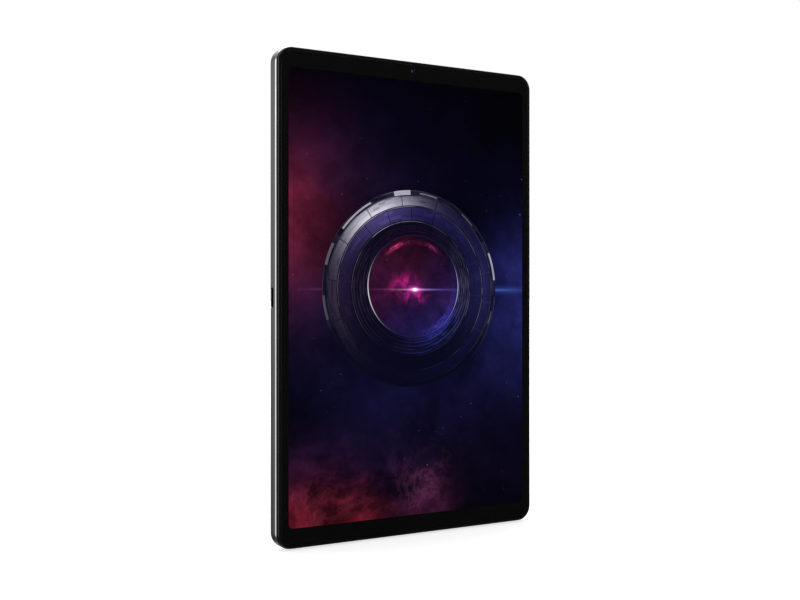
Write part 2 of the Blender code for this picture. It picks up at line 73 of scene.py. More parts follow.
SHELL_LOW, SHELL_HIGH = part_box("rear_shell")
RIM_LOW, RIM_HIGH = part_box("middle_frame")
GLASS_LOW, GLASS_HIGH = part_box("cover_glass")
PANEL_LOW, PANEL_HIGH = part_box("lcd_panel")
BODY_MIDDLE = middle_of("rear_shell")
FRONT_Y = GLASS_LOW.y
PORT_Y = middle_of("side_usb_port").y
BACK_WINDOWS = ("main_lens_window", "macro_lens_window", "flash_window")

# ---- sizes of the casing ---------------------------------------------------------------------
BODY_CORNER = 7.0 * MM
CORNER_STEPS = 18
SHELL_WALL = 1.4 * MM
SHELL_FLOOR = 0.75 * MM
MOUTH_CHAMFER = 0.4 * MM
REAR_RADIUS = 1.25 * MM
RIM_EDGE_RADIUS = 0.38 * MM
RIM_GAP = 0.05 * MM
PLATE_BACK = 3.0 * MM
SKIRT_INSET = 1.1 * MM
GLASS_SEAT = 1.15 * MM
GLASS_SEAT_DEPTH = 0.95 * MM
GLASS_EDGE_RADIUS = 0.12 * MM
PANEL_MARGIN = 1.0 * MM
POCKET_DEPTH = 2.65 * MM
PICTURE_CORNER = 2.0 * MM
CAMERA_OPENING = 1.25 * MM
HOLE_FLARE = 0.13 * MM
KEY_WIDTH = 2.2 * MM
KEY_CORNER = 1.085 * MM
KEY_CLEARANCE = 0.26 * MM
KEY_FLANGE = 0.8 * MM
CARD_HALF = 5.55 * MM
SOCKET_LAP = 0.18 * MM
SOCKET_WALL = 0.22 * MM
SLOT = (4.4 * MM, 1.3 * MM)
SLOT_PITCH = 6.0 * MM
SLOT_COUNT = 5
MIC_HOLE = 0.9 * MM
PLATE_CORNER = 6.5 * MM
MAIN_LENS = 2.5 * MM
MACRO_LENS = 1.25 * MM

PICTURE_H = PANEL_HIGH.z - PANEL_LOW.z - 2 * PANEL_MARGIN
PICTURE_W = PICTURE_H * 10 / 16

# ---- the photographer's viewpoint ------------------------------------------------------------
CAMERA_FROM_SCREEN = Vector((-0.2487, -0.4134, 0.0001))
CAMERA_YAW = math.radians(-30.37)
CAMERA_LENS = 49.38
CAMERA_SHIFT_Y = -0.0031


# ---- mesh helpers ----------------------------------------------------------------------------
def box_around(centre, size):
    """The two opposite corners of a box."""
    half = Vector(size) / 2
    return Vector(centre) - half, Vector(centre) + half


def inset_box(low, high, amount, y_range):
    """The corners of an upright slab whose outline lies amount inside low and high."""
    return (
        Vector((low.x + amount, y_range[0], low.z + amount)),
        Vector((high.x - amount, y_range[1], high.z - amount)),
    )


def bevel_edges(bm, edges, size, steps, material=0):
    """Round these edges, or cut them flat when steps is 1, and give the new faces a material."""
    made = bmesh.ops.bevel(
        bm, geom=edges, offset=size, offset_type="OFFSET", segments=steps,
        profile=0.5, affect="EDGES", clamp_overlap=True,
    )
    for face in made["faces"]:
        face.material_index = material


def rounded_box(low, high, corner=0.0, axis="Y", steps=CORNER_STEPS, low_edge=None, high_edge=None):
    """A box rounded along one axis, with optional edges on its ends: (size, steps, material)."""
    low, high = Vector(low), Vector(high)
    bm = bmesh.new()
    bmesh.ops.create_cube(bm, size=1.0)
    bmesh.ops.scale(bm, verts=bm.verts, vec=high - low)
    bmesh.ops.translate(bm, verts=bm.verts, vec=(low + high) / 2)
    way = AXIS[axis]
    if corner:
        along = [e for e in bm.edges if abs(e.verts[0].co[way] - e.verts[1].co[way]) > SAME]
        bevel_edges(bm, along, corner, steps)
    for plane, edge in ((low[way], low_edge), (high[way], high_edge)):
        if edge:
            rim = [e for e in bm.edges if all(abs(v.co[way] - plane) < SAME for v in e.verts)]
            bevel_edges(bm, rim, *edge)
    return bm


def lathe(profile, spot, y, steps=64, outwards=1.0):
    """A turned shape about the Y axis through a spot. The profile lists (radius, height) in order
    round its section, and height is measured from y, backwards when outwards is 1."""
    bm = bmesh.new()
    places = [Vector((spot.x + r, y + outwards * h, spot.z)) for r, h in profile]
    verts = [bm.verts.new(place) for place in places]
    edges = [bm.edges.new(pair) for pair in zip(verts, verts[1:])]
    if min(r for r, _ in profile) > SAME:
        edges.append(bm.edges.new((verts[-1], verts[0])))
    bmesh.ops.spin(
        bm, geom=verts + edges, cent=(spot.x, y, spot.z), axis=(0, 1, 0), dvec=(0, 0, 0),
        angle=math.tau, steps=steps, use_merge=True, use_duplicate=False,
    )
    bmesh.ops.remove_doubles(bm, verts=bm.verts, dist=SAME)
    bmesh.ops.recalc_face_normals(bm, faces=bm.faces)
    return bm


def plug(radius, start, end):
    """Half the section of a plain round plug, for the lathe."""
    return [(0, start), (radius, start), (radius, end), (0, end)]


def in_mm(profile):
    """A section given in millimetres, turned into metres."""
    return [(r * MM, h * MM) for r, h in profile]


def new_object(name, bm, materials=()):
    """Turn a bmesh into an object with these materials, and link it into the scene."""
    mesh = bpy.data.meshes.new(name)
    bm.to_mesh(mesh)
    bm.free()
    for material in materials:
        mesh.materials.append(material)
    obj = bpy.data.objects.new(name, mesh)
    bpy.context.scene.collection.objects.link(obj)
    return obj


def add_piece(name, bm, materials, body="casing", replaces=()):
    """Add a piece that rides on a body, with its finishes, and hide the CAD nodes it stands for."""
    obj = new_object(name, bm, materials)
    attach(obj, body)
    if replaces:
        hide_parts(*replaces)
    smooth_shade(obj)
    return obj


def smooth_shade(obj, angle=35.0):
    """Shade smoothly across edges that turn less than the angle."""
    obj.data.shade_smooth()
    obj.data.set_sharp_from_angle(angle=math.radians(angle))
    if "even_normals" not in obj.modifiers:
        modifier = obj.modifiers.new("even_normals", "WEIGHTED_NORMAL")
        modifier.keep_sharp = True


def close_slivers(mesh):
    """Merge the hair-thin faces that a cut can leave, and fill the gap if one falls away."""
    bm = bmesh.new()
    bm.from_mesh(mesh)
    bmesh.ops.remove_doubles(bm, verts=bm.verts, dist=SLIVER)
    bmesh.ops.dissolve_degenerate(bm, edges=bm.edges, dist=SLIVER)
    bmesh.ops.holes_fill(bm, edges=[e for e in bm.edges if len(e.link_faces) == 1], sides=4)
    bm.to_mesh(mesh)
    bm.free()


def combine(obj, tools, operation="DIFFERENCE"):
    """Cut each tool out of obj, or join it on, and keep the result as obj's mesh.

    Each tool is a bmesh followed by its materials.
    """
    obj.modifiers.clear()
    helpers = [new_object("tool", bm, materials) for bm, *materials in tools]
    for helper in helpers:
        modifier = obj.modifiers.new("combine", "BOOLEAN")
        modifier.operation = operation
        modifier.solver = "EXACT"
        modifier.material_mode = "TRANSFER"
        modifier.object = helper
    evaluated = obj.evaluated_get(bpy.context.evaluated_depsgraph_get())
    old, obj.data = obj.data, bpy.data.meshes.new_from_object(evaluated)
    obj.modifiers.clear()
    bpy.data.meshes.remove(old)
    close_slivers(obj.data)
    for helper in helpers:
        bpy.data.objects.remove(helper)
    smooth_shade(obj)


# ---- shader helpers --------------------------------------------------------------------------
def feed(tree, place, value):
    """Link a field or a socket to an input, or give the input a plain value."""
    if isinstance(value, Field):
        value = value.socket
    if isinstance(value, bpy.types.NodeSocket):
        tree.links.new(value, place)
    elif isinstance(value, tuple) and len(value) < len(place.default_value):
        place.default_value = (*value, 1.0)
    else:
        place.default_value = value


def add_node(tree, kind, inputs=(), **settings):
    """A new node with these settings, its inputs fed by name or by number."""
    node = tree.nodes.new("ShaderNode" + kind)
    for name, value in settings.items():
        setattr(node, name, value)
    for place, value in dict(inputs).items():
        feed(tree, node.inputs[place], value)
    return node


class Field:
    """A number in a node tree, combined with ordinary arithmetic signs."""

    def __init__(self, tree, socket):
        self.tree, self.socket = tree, socket

    def math(self, operation, *others):
        """This number and the others, put through one of the math node's operations."""
        node = add_node(self.tree, "Math", enumerate((self, *others)), operation=operation)
        return Field(self.tree, node.outputs[0])

    def __add__(self, other):
        return self.math("ADD", other)

    def __sub__(self, other):
        return self.math("SUBTRACT", other)

    def __mul__(self, other):
        return self.math("MULTIPLY", other)

    def squared(self):
        return self.math("MULTIPLY", self)

    def step(self, low, high):
        """0 at low and 1 at high, with a smooth turn between. Low may be the larger of them."""
        down = low > high
        node = add_node(
            self.tree, "MapRange",
            {
                "Value": self, "From Min": min(low, high), "From Max": max(low, high),
                "To Min": float(down), "To Max": float(not down),
            },
            interpolation_type="SMOOTHSTEP",
        )
        return Field(self.tree, node.outputs["Result"])

    def band(self, low, high, soft):
        """1 between low and high, and 0 outside them."""
        return self.step(low - soft, low + soft) * self.step(high + soft, high - soft)


def length_of(across, up):
    """How far a place lies from the origin of its plane."""
    return (across.squared() + up.squared()).math("SQRT")


def srgb(*values):
    """A colour as 0 to 255 display values, turned into linear light."""
    return tuple(
        v / 255 / 12.92 if v / 255 <= 0.04045 else ((v / 255 + 0.055) / 1.055) ** 2.4
        for v in values
    )


def object_place(tree):
    """The X, Y and Z of a point on the object, as numbers in millimetres, and the vector."""
    place = add_node(tree, "TexCoord").outputs["Object"]
    scale = add_node(tree, "VectorMath", {0: place, "Scale": 1 / MM}, operation="SCALE")
    split = add_node(tree, "SeparateXYZ", {0: scale.outputs[0]})
    return [Field(tree, out) for out in split.outputs], scale.outputs[0]


def vector_of(tree, *numbers):
    """A vector made of three numbers or fields."""
    return add_node(tree, "CombineXYZ", enumerate(numbers)).outputs[0]


def noise(tree, vector, size, detail=4.0, rough=0.5, warp=0.0):
    """Smooth noise between 0 and 1 whose grains are about size millimetres."""
    inputs = {
        "Vector": vector, "Scale": 1 / size, "Detail": detail, "Roughness": rough,
        "Distortion": warp,
    }
    return Field(tree, add_node(tree, "TexNoise", inputs).outputs["Fac"])


def chance(tree, inputs, **settings):
    """An even random number between 0 and 1 for each value of its input."""
    return Field(tree, add_node(tree, "TexWhiteNoise", inputs, **settings).outputs["Value"])


def blend_colours(tree, first, second, amount):
    """The first colour at amount 0 and the second at 1."""
    inputs = {"Factor": amount, 6: first, 7: second}
    return add_node(tree, "Mix", inputs, data_type="RGBA").outputs[2]


def new_material(name):
    """An empty material, with its node tree and its shader."""
    material = bpy.data.materials.new(name)
    material.use_nodes = True
    tree = material.node_tree
    return material, tree, tree.nodes["Principled BSDF"]


def dress(tree, shader, relief=None, depth_mm=0.0, **values):
    """Feed the shader's inputs, named with underscores, and raise its surface by the relief."""
    for name, value in values.items():
        feed(tree, shader.inputs[name.replace("_", " ")], value)
    if relief:
        bump = add_node(tree, "Bump", {"Strength": 1.0, "Distance": depth_mm * MM, "Height": relief})
        feed(tree, shader.inputs["Normal"], bump.outputs["Normal"])


def finish_material(
    name, dark, light, rough, metallic=0.0, grain=0.15, stretch=(1, 1, 1), relief=0.01, patch=12.0,
    gloss=0.5,
):
    """A finish with fine grain, slow drift of tone, and roughness that follows the grain.

    dark and light are linear colours, rough is its (low, high), grain and patch are sizes in mm.
    """
    material, tree, shader = new_material(name)
    _, place = object_place(tree)
    stretched = add_node(tree, "VectorMath", {0: place, 1: stretch}, operation="MULTIPLY")
    fine = noise(tree, stretched.outputs[0], grain, 3.0)
    drift = noise(tree, place, patch, 3.0)
    dress(
        tree, shader, fine, relief,
        Base_Color=blend_colours(tree, dark, light, (fine * 0.5 + drift * 0.5).step(0.3, 0.7)),
        Roughness=fine * (rough[1] - rough[0]) + rough[0],
        Metallic=metallic, Specular_IOR_Level=gloss,
    )
    return material


# ---- finishes --------------------------------------------------------------------------------
ANODISED = finish_material(
    "anodised_grey", (0.235, 0.238, 0.250), (0.29, 0.293, 0.306), (0.30, 0.42), 1.0, 0.11,
    relief=0.004, patch=40.0,
)
CUT_METAL = finish_material(
    "cut_metal_edge", (0.66, 0.67, 0.70), (0.80, 0.81, 0.84), (0.12, 0.24), 1.0, 0.05,
    stretch=(1, 1, 0.04), relief=0.002, patch=25.0,
)
RIM_PLASTIC = finish_material(
    "black_rim_plastic", (0.0035, 0.0035, 0.004), (0.006, 0.006, 0.0065), (0.34, 0.46), 0.0, 0.09,
    relief=0.003,
)
# Painted shade: the rim's side wall has almost no gloss, so it stays as dark as the shade in the gap
# between the shell and the rim.
RIM_WALL_PAINTED_SHADE = finish_material(
    "black_rim_wall", (0.0035, 0.0035, 0.004), (0.005, 0.005, 0.0055), (0.5, 0.65), 0.0, 0.09,
    relief=0.003, gloss=0.03,
)
RIM_EDGE = finish_material(
    "black_rim_edge", (0.0035, 0.0035, 0.004), (0.006, 0.006, 0.0065), (0.22, 0.30), 0.0, 0.09,
    relief=0.001, gloss=0.9,
)
BLACK_MOULDING = finish_material(
    "black_moulding", (0.010, 0.010, 0.011), (0.018, 0.018, 0.019), (0.45, 0.6), 0.0, 0.12,
)
STEEL = finish_material(
    "stamped_steel", (0.42, 0.42, 0.44), (0.58, 0.58, 0.60), (0.22, 0.38), 1.0, 0.06,
    stretch=(0.05, 1, 1), relief=0.003,
)
COPPER = finish_material(
    "bare_copper", (0.62, 0.27, 0.16), (0.86, 0.45, 0.30), (0.22, 0.4), 1.0, 0.08,
    stretch=(1, 1, 0.06), relief=0.003,
)
GOLD = finish_material(
    "gold_contacts", (0.75, 0.5, 0.18), (0.9, 0.65, 0.28), (0.15, 0.3), 1.0, 0.05, relief=0.001,
)
BATTERY_WRAP = finish_material(
    "battery_wrap", (0.012, 0.012, 0.014), (0.03, 0.03, 0.034), (0.28, 0.5), 0.0, 1.6, relief=0.05,
)
WHITE_SHEET = finish_material(
    "white_sheet", (0.78, 0.78, 0.8), (0.88, 0.88, 0.9), (0.4, 0.55), 0.0, 0.3,
)
FOAM = finish_material(
    "adhesive_foam", (0.012, 0.012, 0.012), (0.03, 0.03, 0.03), (0.75, 0.95), 0.0, 0.2, relief=0.03,
)
CHIP = finish_material(
    "chip_package", (0.012, 0.012, 0.014), (0.024, 0.024, 0.027), (0.35, 0.55), 0.0, 0.1,
)
TUNGSTEN = finish_material(
    "heavy_metal", (0.14, 0.14, 0.15), (0.24, 0.24, 0.25), (0.35, 0.55), 1.0, 0.12,
)
LENS_BARREL = finish_material(
    "lens_barrel_black", (0.004, 0.004, 0.005), (0.010, 0.010, 0.012), (0.3, 0.45), 0.0, 0.08,
    relief=0.002,
)


def clear_glass():
    """Thin clear glass with faint smears in its polish."""
    material, tree, shader = new_material("lens_cover_glass")
    _, place = object_place(tree)
    rough = noise(tree, place, 3.0, 5.0) * 0.05 + 0.03
    dress(tree, shader, Base_Color=(0.01, 0.01, 0.012), Alpha=0.16, Roughness=rough)
    return material


def border_glass():
    """Black printed glass: a deep gloss with very faint smears."""
    material, tree, shader = new_material("black_printed_glass")
    _, place = object_place(tree)
    speck = noise(tree, place, 0.5, 2.0)
    colour = blend_colours(tree, srgb(11, 11, 11), srgb(14, 14, 14), speck)
    rough = noise(tree, place, 22.0, 6.0, 0.6) * 0.08 + 0.03
    dress(tree, shader, Base_Color=colour, Roughness=rough)
    return material


def lens_with_painted_sheen(name, centre, edge):
    """Lens glass with a painted coating reflection: its colour turns from one deep colour seen face on
    to another towards its edge, where the glass is seen at a slant.
    """
    material, tree, shader = new_material(name)
    facing = Field(tree, add_node(tree, "LayerWeight", {"Blend": 0.35}).outputs["Facing"])
    _, place = object_place(tree)
    # Painted reflection: the colour follows the angle at which the lens is seen, not a real reflection.
    colour = blend_colours(tree, centre, edge, facing + noise(tree, place, 1.5) * 0.25)
    dress(
        tree, shader, Base_Color=colour, Roughness=0.04, Coat_Weight=1.0, Specular_IOR_Level=0.9
    )
    return material


def circuit_board():
    """Green solder mask over copper tracks and vias."""
    material, tree, shader = new_material("circuit_board")
    (x, y, z), place = object_place(tree)
    bricks = {"Vector": vector_of(tree, x, z, y), "Scale": 0.45, "Mortar Size": 0.03}
    tracks = Field(tree, add_node(tree, "TexBrick", bricks).outputs["Fac"])
    vias = add_node(tree, "TexVoronoi", {"Vector": place, "Scale": 0.9})
    dots = Field(tree, vias.outputs["Distance"]).step(0.2, 0.16)
    colour = blend_colours(tree, (0.006, 0.035, 0.026), (0.014, 0.085, 0.05), tracks)
    colour = blend_colours(tree, colour, (0.6, 0.42, 0.16), dots)
    rough = noise(tree, place, 0.4) * 0.2 + 0.3
    dress(tree, shader, tracks, 0.02, Base_Color=colour, Roughness=rough)
    return material


def flex_film():
    """Amber film with fine copper tracks along it."""
    material, tree, shader = new_material("flex_film")
    (x, _, _), place = object_place(tree)
    tracks = (x * 2.2).math("PINGPONG", 0.5).step(0.18, 0.3)
    colour = blend_colours(tree, (0.32, 0.11, 0.012), (0.62, 0.27, 0.05), tracks)
    rough = noise(tree, place, 0.6) * 0.15 + 0.28
    dress(tree, shader, tracks, 0.01, Base_Color=colour, Roughness=rough)
    return material


def flash_glass():
    """Pale diffuser over yellow phosphor, which shows yellow in its middle."""
    material, tree, shader = new_material("flash_diffuser")
    (x, _, z), place = object_place(tree)
    middle = middle_of("flash_window") / MM
    core = length_of(x - middle.x, z - middle.z).step(1.1, 0.5)
    colour = blend_colours(tree, (0.72, 0.70, 0.64), (0.82, 0.62, 0.14), core)
    dress(tree, shader, Base_Color=colour, Roughness=noise(tree, place, 0.2) * 0.1 + 0.15)
    return material


# ---- the lit picture -------------------------------------------------------------------------
# All its places are in millimetres from the middle of the display, X right and Z up, and all its
# angles are in degrees, anticlockwise from the right.
RING_CENTRE = (0.0, 4.0)
RING_SQUEEZE = 0.975
RING_LEAN = (0.75, 1.2)
RING_INNER = 22.4
RING_OUTER = 43.2
STAR = (1.2, 3.6)

# Which way each light on the ring comes from, and how far it spreads round the ring.
RING_LIGHTS = {
    "key": (119.0, 17.0), "wide": (100.0, 34.0), "left": (176.0, 24.0), "right": (4.0, 24.0),
    "low": (306.0, 24.0),
}

# Raised blocks on the ring's rim: middle angle, reach either way, radii and brightness.
RIM_BLOCKS = (
    (131, 12.0, (41.7, 42.5), 0.40),
    (97, 5.5, (41.2, RING_OUTER), 0.46),
    (79, 6.0, (41.8, 42.4), 0.16),
    (48, 5.0, (41.7, 42.3), 0.07),
    (14, 8.5, (42.3, RING_OUTER), 0.40),
    (160, 6.5, (42.0, RING_OUTER), 0.11),
    (191, 7.0, (42.1, RING_OUTER), 0.06),
    (342, 4.0, (41.9, 42.6), 0.05),
)

# Soft glows: centre, size and colour.
SKY_GLOWS = (
    ((-68, 27), (23, 25), (0.098, 0.0085, 0.023)),
    ((-64, 41), (15, 13), (0.080, 0.0060, 0.013)),
    ((-64, 55), (28, 24), (0.024, 0.0032, 0.012)),
    ((-24, 50), (24, 15), (0.0046, 0.0022, 0.0085)),
    ((-56, -4), (26, 24), (0.006, 0.0035, 0.018)),
    ((66, -2), (25, 36), (0.015, 0.0160, 0.110)),
    ((0, -42), (58, 26), (0.0034, 0.0031, 0.020)),
    ((-12, 60), (52, 30), (0.0016, 0.0009, 0.0074)),
    ((42, -72), (44, 24), (0.0024, 0.0012, 0.0062)),
)
FOOT_GLOWS = (
    ((-54, -98), (26, 17), (0.120, 0.0064, 0.013)),
    ((-33, -95), (13, 13), (0.092, 0.0048, 0.009)),
    ((7, -92), (12, 14), (0.028, 0.0046, 0.017)),
    ((-38, -74), (40, 15), (0.009, 0.0028, 0.015)),
)
WISPS = (
    ((4, -85), (13, 13), (0.064, 0.013, 0.040)),
    ((-48, -88), (24, 13), (0.080, 0.010, 0.018)),
)
THREADS = (
    ((5, -80), (12, 14), (0.030, 0.009, 0.017)),
    ((-44, -86), (26, 12), (0.026, 0.004, 0.007)),
)
HOLE_GLOWS = (
    ((-4, 20), (20, 14), (0.0176, 0.0022, 0.007)),
    ((4, -14), (20, 14), (0.0090, 0.0070, 0.058)),
    ((-20, 6), (14, 20), (0.0320, 0.0045, 0.025)),
    ((20, 0), (14, 20), (0.0170, 0.0060, 0.048)),
    ((-1, 4), (12, 10), (0.0130, 0.0010, 0.006)),
)
PUFFS = (
    ((-4.2, 6.6), (5.0, 3.4), (0.50, 0.010, 0.20)),
    ((0.9, 0.7), (4.8, 2.6), (0.46, 0.012, 0.20)),
    ((-9.5, 3.2), (5.0, 3.0), (0.16, 0.006, 0.07)),
)
STAR_GLOWS = (
    ((0.2, 3.9), (4.6, 3.6), (0.10, 0.004, 0.065)),
    (STAR, (2.1, 1.0), (0.42, 0.14, 0.42)),
    (STAR, (1.0, 0.52), (2.0, 1.75, 1.95)),
    ((44.5, STAR[1]), (8.5, 0.42), (0.026, 0.060, 0.33)),
    ((50.0, STAR[1]), (15.0, 1.5), (0.012, 0.026, 0.10)),
    ((-45.0, STAR[1]), (7.0, 0.45), (0.035, 0.008, 0.05)),
)


class Picture:
    """Adds coloured light, layer on layer, to the colour that the display shows."""

    def __init__(self, tree):
        self.tree = tree
        (x, _, z), _ = object_place(tree)
        self.x = x - BODY_MIDDLE.x / MM
        self.z = z - BODY_MIDDLE.z / MM
        self.flat = vector_of(tree, self.x, 0.0, self.z)
        self.light = (0.0001, 0.0001, 0.0008)

    def scaled(self, light, amount):
        """This light, made weaker or stronger."""
        inputs = {0: light, "Scale": amount}
        return add_node(self.tree, "VectorMath", inputs, operation="SCALE").outputs[0]

    def add(self, colour, amount):
        """Add an amount of this colour to the light."""
        inputs = {0: self.light, 1: self.scaled(colour, amount)}
        self.light = add_node(self.tree, "VectorMath", inputs, operation="ADD").outputs[0]

    def dim(self, amount):
        """Keep only this share of the light that is there so far."""
        self.light = self.scaled(self.light, amount)

    def glow(self, centre, size):
        """A soft spot of light: 1 at its centre, fading over size, given for X and Z."""
        across = ((self.x - centre[0]) * (1 / size[0])).squared()
        up = ((self.z - centre[1]) * (1 / size[1])).squared()
        return ((across + up) * -1).math("EXPONENT")

    def add_glows(self, glows, pattern=1.0):
        """Add every glow of a table, broken up by a pattern."""
        for centre, size, colour in glows:
            self.add(colour, self.glow(centre, size) * pattern)

    def noise(self, size, detail=6.0, rough=0.55, warp=0.0, offset=0.0):
        """Noise over the display, a different one for each offset."""
        moved = vector_of(self.tree, self.x, offset, self.z)
        return noise(self.tree, moved, size, detail, rough, warp)


class Ring:
    """Places on the unbroken ring, told by their radius and by the way they lie from its centre.

    The ring is a little wider than high, and its inner edge lies deeper, so that it is seen
    slightly off centre.
    """

    def __init__(self, picture):
        self.picture = picture
        across = (picture.x - RING_CENTRE[0]) * RING_SQUEEZE
        up = picture.z - RING_CENTRE[1]
        depth = length_of(across, up).step(31.0, 21.0)
        self.across = across - depth * RING_LEAN[0]
        self.up = up - depth * RING_LEAN[1]
        self.radius = length_of(self.across, self.up)
        self.angle = self.up.math("ARCTAN2", self.across)
        self.streaks = self.brushed(1.0, 0.0) * 0.8 + 0.6
        self.arcs = self.brushed(2.4, 33.0).step(0.38, 0.58) * 0.85 + 0.15
        self.light = {name: self.towards(*light) for name, light in RING_LIGHTS.items()}

    def cosine(self, degrees):
        """The cosine of how far a point lies round the ring from this angle."""
        turn = math.radians(degrees)
        along = self.across * math.cos(turn) + self.up * math.sin(turn)
        return along.math("DIVIDE", self.radius.math("MAXIMUM", 1.0))

    def towards(self, degrees, spread):
        """1 on the side at this angle, fading away over the spread."""
        return ((self.cosine(degrees) - 1.0) * math.radians(spread) ** -2).math("EXPONENT")

    def within(self, degrees, reach, soft=0.25):
        """1 on an arc that goes as far as reach on both sides of this angle."""
        ends = [math.cos(math.radians(reach + side * soft)) for side in (1, -1)]
        return self.cosine(degrees).step(*ends)

    def brushed(self, size, offset):
        """Streaks that run round the ring."""
        unit = self.radius.math("MAXIMUM", 1.0)
        around = [place.math("DIVIDE", unit) * 9.0 for place in (self.across, self.up)]
        vector = vector_of(self.picture.tree, around[0], self.radius * 1.6 + offset, around[1])
        return noise(self.picture.tree, vector, size, 5.0, 0.6)

    def seams(self, count, turn, width):
        """1 on thin lines that part the band into count panels, and 0 on the panels."""
        steps = self.angle * (count / math.tau) + turn
        gap = steps.math("PINGPONG", 0.5) * self.radius * (math.tau / count)
        return gap.step(width, width * 0.45)

    def tones(self, count, turn, low):
        """A brightness of its own, from low to 1, for each of the same panels."""
        number = (self.angle * (count / math.tau) + turn).math("FLOOR")
        panel = {"W": number.math("FLOORED_MODULO", count)}
        return chance(self.picture.tree, panel, noise_dimensions="1D") * (1.0 - low) + low

    def plates(self, count, height, share, seed):
        """1 on small plates, count of them round the ring, picked at random in this share."""
        place = vector_of(
            self.picture.tree,
            (self.angle * (count / math.tau)).math("FLOOR").math("FLOORED_MODULO", count),
            (self.radius * (1 / height)).math("FLOOR"), seed,
        )
        return chance(self.picture.tree, {"Vector": place}).step(share + 0.01, share)

    def panels(self, radii, seams, tones):
        """A brushed band between two radii, its panels parted by dark seams."""
        band = self.radius.band(*radii, 0.13) * self.streaks * tones
        return band * (seams * -0.7 + 1.0)

    def groove(self, radius, depth):
        """1, less the depth on a narrow groove that runs round the ring."""
        return self.radius.band(radius - 0.1, radius + 0.1, 0.1) * self.arcs * -depth + 1.0

    def paint(self, where, **colours):
        """Paint this place in the colour that each of the ring's lights gives it."""
        for name, colour in colours.items():
            self.picture.add(colour, where * self.light[name])

    def gleam(self, where, *gleams):
        """Add gleams on this place: colour, the angle they lie at, and their spread."""
        for colour, degrees, spread in gleams:
            self.picture.add(colour, where * self.towards(degrees, spread))


def paint_sky(picture):
    """Dark violet space with red gas on the left and at the foot, and blue on the right."""
    clouds = picture.noise(46.0, 9.0, 0.60, 0.25).step(0.26, 0.74) * 1.1 + 0.45
    mottle = picture.noise(11.0, 8.0, 0.66, 0.3, offset=40.0).step(0.2, 0.8) * 0.7 + 0.65
    picture.add_glows(SKY_GLOWS, clouds * mottle)
    billows = picture.noise(26.0, 10.0, 0.64, 0.6, offset=90.0).step(0.34, 0.66) * 1.7 + 0.15
    picture.add_glows(FOOT_GLOWS, billows * mottle)
    picture.add_glows(WISPS, picture.noise(13.0, 11.0, 0.74, 0.35, offset=140.0).step(0.45, 0.70))
    threads = (picture.noise(17.0, 10.0, 0.60, 0.35, offset=210.0) - 0.5).math("ABSOLUTE")
    picture.add_glows(THREADS, threads.step(0.045, 0.0) * mottle)


def paint_stars(picture):
    """Small scattered stars, most of them faint, and fewer of them far from the ring."""
    spread = picture.glow((0, 0), (90, 60)) * 0.85 + 0.15
    for size, reach, strength in ((8.5, 0.045, 1.0), (3.2, 0.072, 0.62)):
        cells = add_node(picture.tree, "TexVoronoi", {"Vector": picture.flat, "Scale": 1 / size})
        split = add_node(picture.tree, "SeparateColor", {0: cells.outputs["Color"]})
        luck = Field(picture.tree, split.outputs[0]).math("POWER", 3.0)
        dot = Field(picture.tree, cells.outputs["Distance"]).step(reach, 0.0)
        picture.add((0.55, 0.50, 0.85), dot * luck * spread * strength)


def paint_hole(picture, ring):
    """The gas lit round the bright star, seen through the ring."""
    inside = ring.radius.step(RING_INNER + 0.2, RING_INNER - 0.2)
    texture = picture.noise(9.0, 8.0, 0.64, 0.5, offset=13.0).step(0.25, 0.75) * 0.9 + 0.55
    picture.dim(inside * -0.95 + 1.0)
    picture.add_glows(HOLE_GLOWS, inside * texture)
    picture.add_glows(PUFFS, picture.noise(5.0, 7.0, 0.6, 0.9, offset=27.0).step(0.38, 0.68))
    ring.gleam(
        ring.radius.band(18.4, 20.2, 0.6) * ring.brushed(0.9, 5.0).step(0.35, 0.7),
        ((0.66, 0.045, 0.18), 119.0, 8.0), ((0.26, 0.024, 0.12), 64.0, 6.0),
        ((0.045, 0.004, 0.022), 95.0, 30.0),
    )
    ring.gleam(
        ring.radius.band(19.6, RING_INNER, 0.7) * ring.brushed(0.8, 9.0).step(0.34, 0.68),
        ((0.030, 0.036, 0.30), 310.0, 17.0), ((0.006, 0.007, 0.05), 350.0, 22.0),
    )


def paint_star(picture):
    """The bright star, its level flare, and the two ends of the flare seen past the ring."""
    picture.add_glows(STAR_GLOWS)
    thin = picture.glow(STAR, (400.0, 0.38))
    away = (picture.x - STAR[0]).math("ABSOLUTE")
    near, wide = [(away * (-1 / reach)).math("EXPONENT") for reach in (4.2, 14.0)]
    right = picture.x.step(-2.0, 8.0)
    picture.add((0.85, 0.34, 0.75), thin * near)
    picture.add((0.05, 0.08, 0.36), thin * wide * right)
    picture.add((0.10, 0.014, 0.06), thin * wide * (right * -1 + 1.0))


def paint_bands(ring):
    """The ring's two wide bands of metal panels, with a few plates on them."""
    outer_seams = ring.seams(14, 0.2, 0.34)
    outer = ring.panels((36.6, 40.7), outer_seams, ring.tones(14, 0.2, 0.8))
    outer = outer * ring.groove(38.65, 0.55) * (ring.plates(72, 1.03, 0.10, 3.0) * -0.32 + 1.0)
    ring.paint(
        outer * (ring.radius.step(43.0, 35.5) * 0.7 + 0.4),
        key=(0.78, 0.75, 0.85), wide=(0.020, 0.017, 0.066), left=(0.034, 0.022, 0.036),
        right=(0.014, 0.013, 0.064), low=(0.001, 0.001, 0.010),
    )
    middle_seams = ring.seams(18, 0.45, 0.28)
    middle = ring.panels((30.1, 35.7), middle_seams, ring.tones(18, 0.45, 0.75))
    middle = middle * ring.groove(32.1, 0.5) * (ring.plates(54, 1.42, 0.12, 8.0) * 0.45 + 1.0)
    ring.paint(
        middle * (ring.radius.step(28.5, 35.5) * 0.5 + 0.6),
        key=(0.047, 0.034, 0.088), wide=(0.015, 0.012, 0.076), left=(0.012, 0.006, 0.014),
        right=(0.007, 0.007, 0.036),
    )
    ring.paint(
        (outer_seams * 0.5 + middle_seams) * ring.radius.band(30.1, 40.7, 0.1) * ring.arcs,
        left=(0.012, 0.010, 0.014), right=(0.014, 0.014, 0.024),
    )


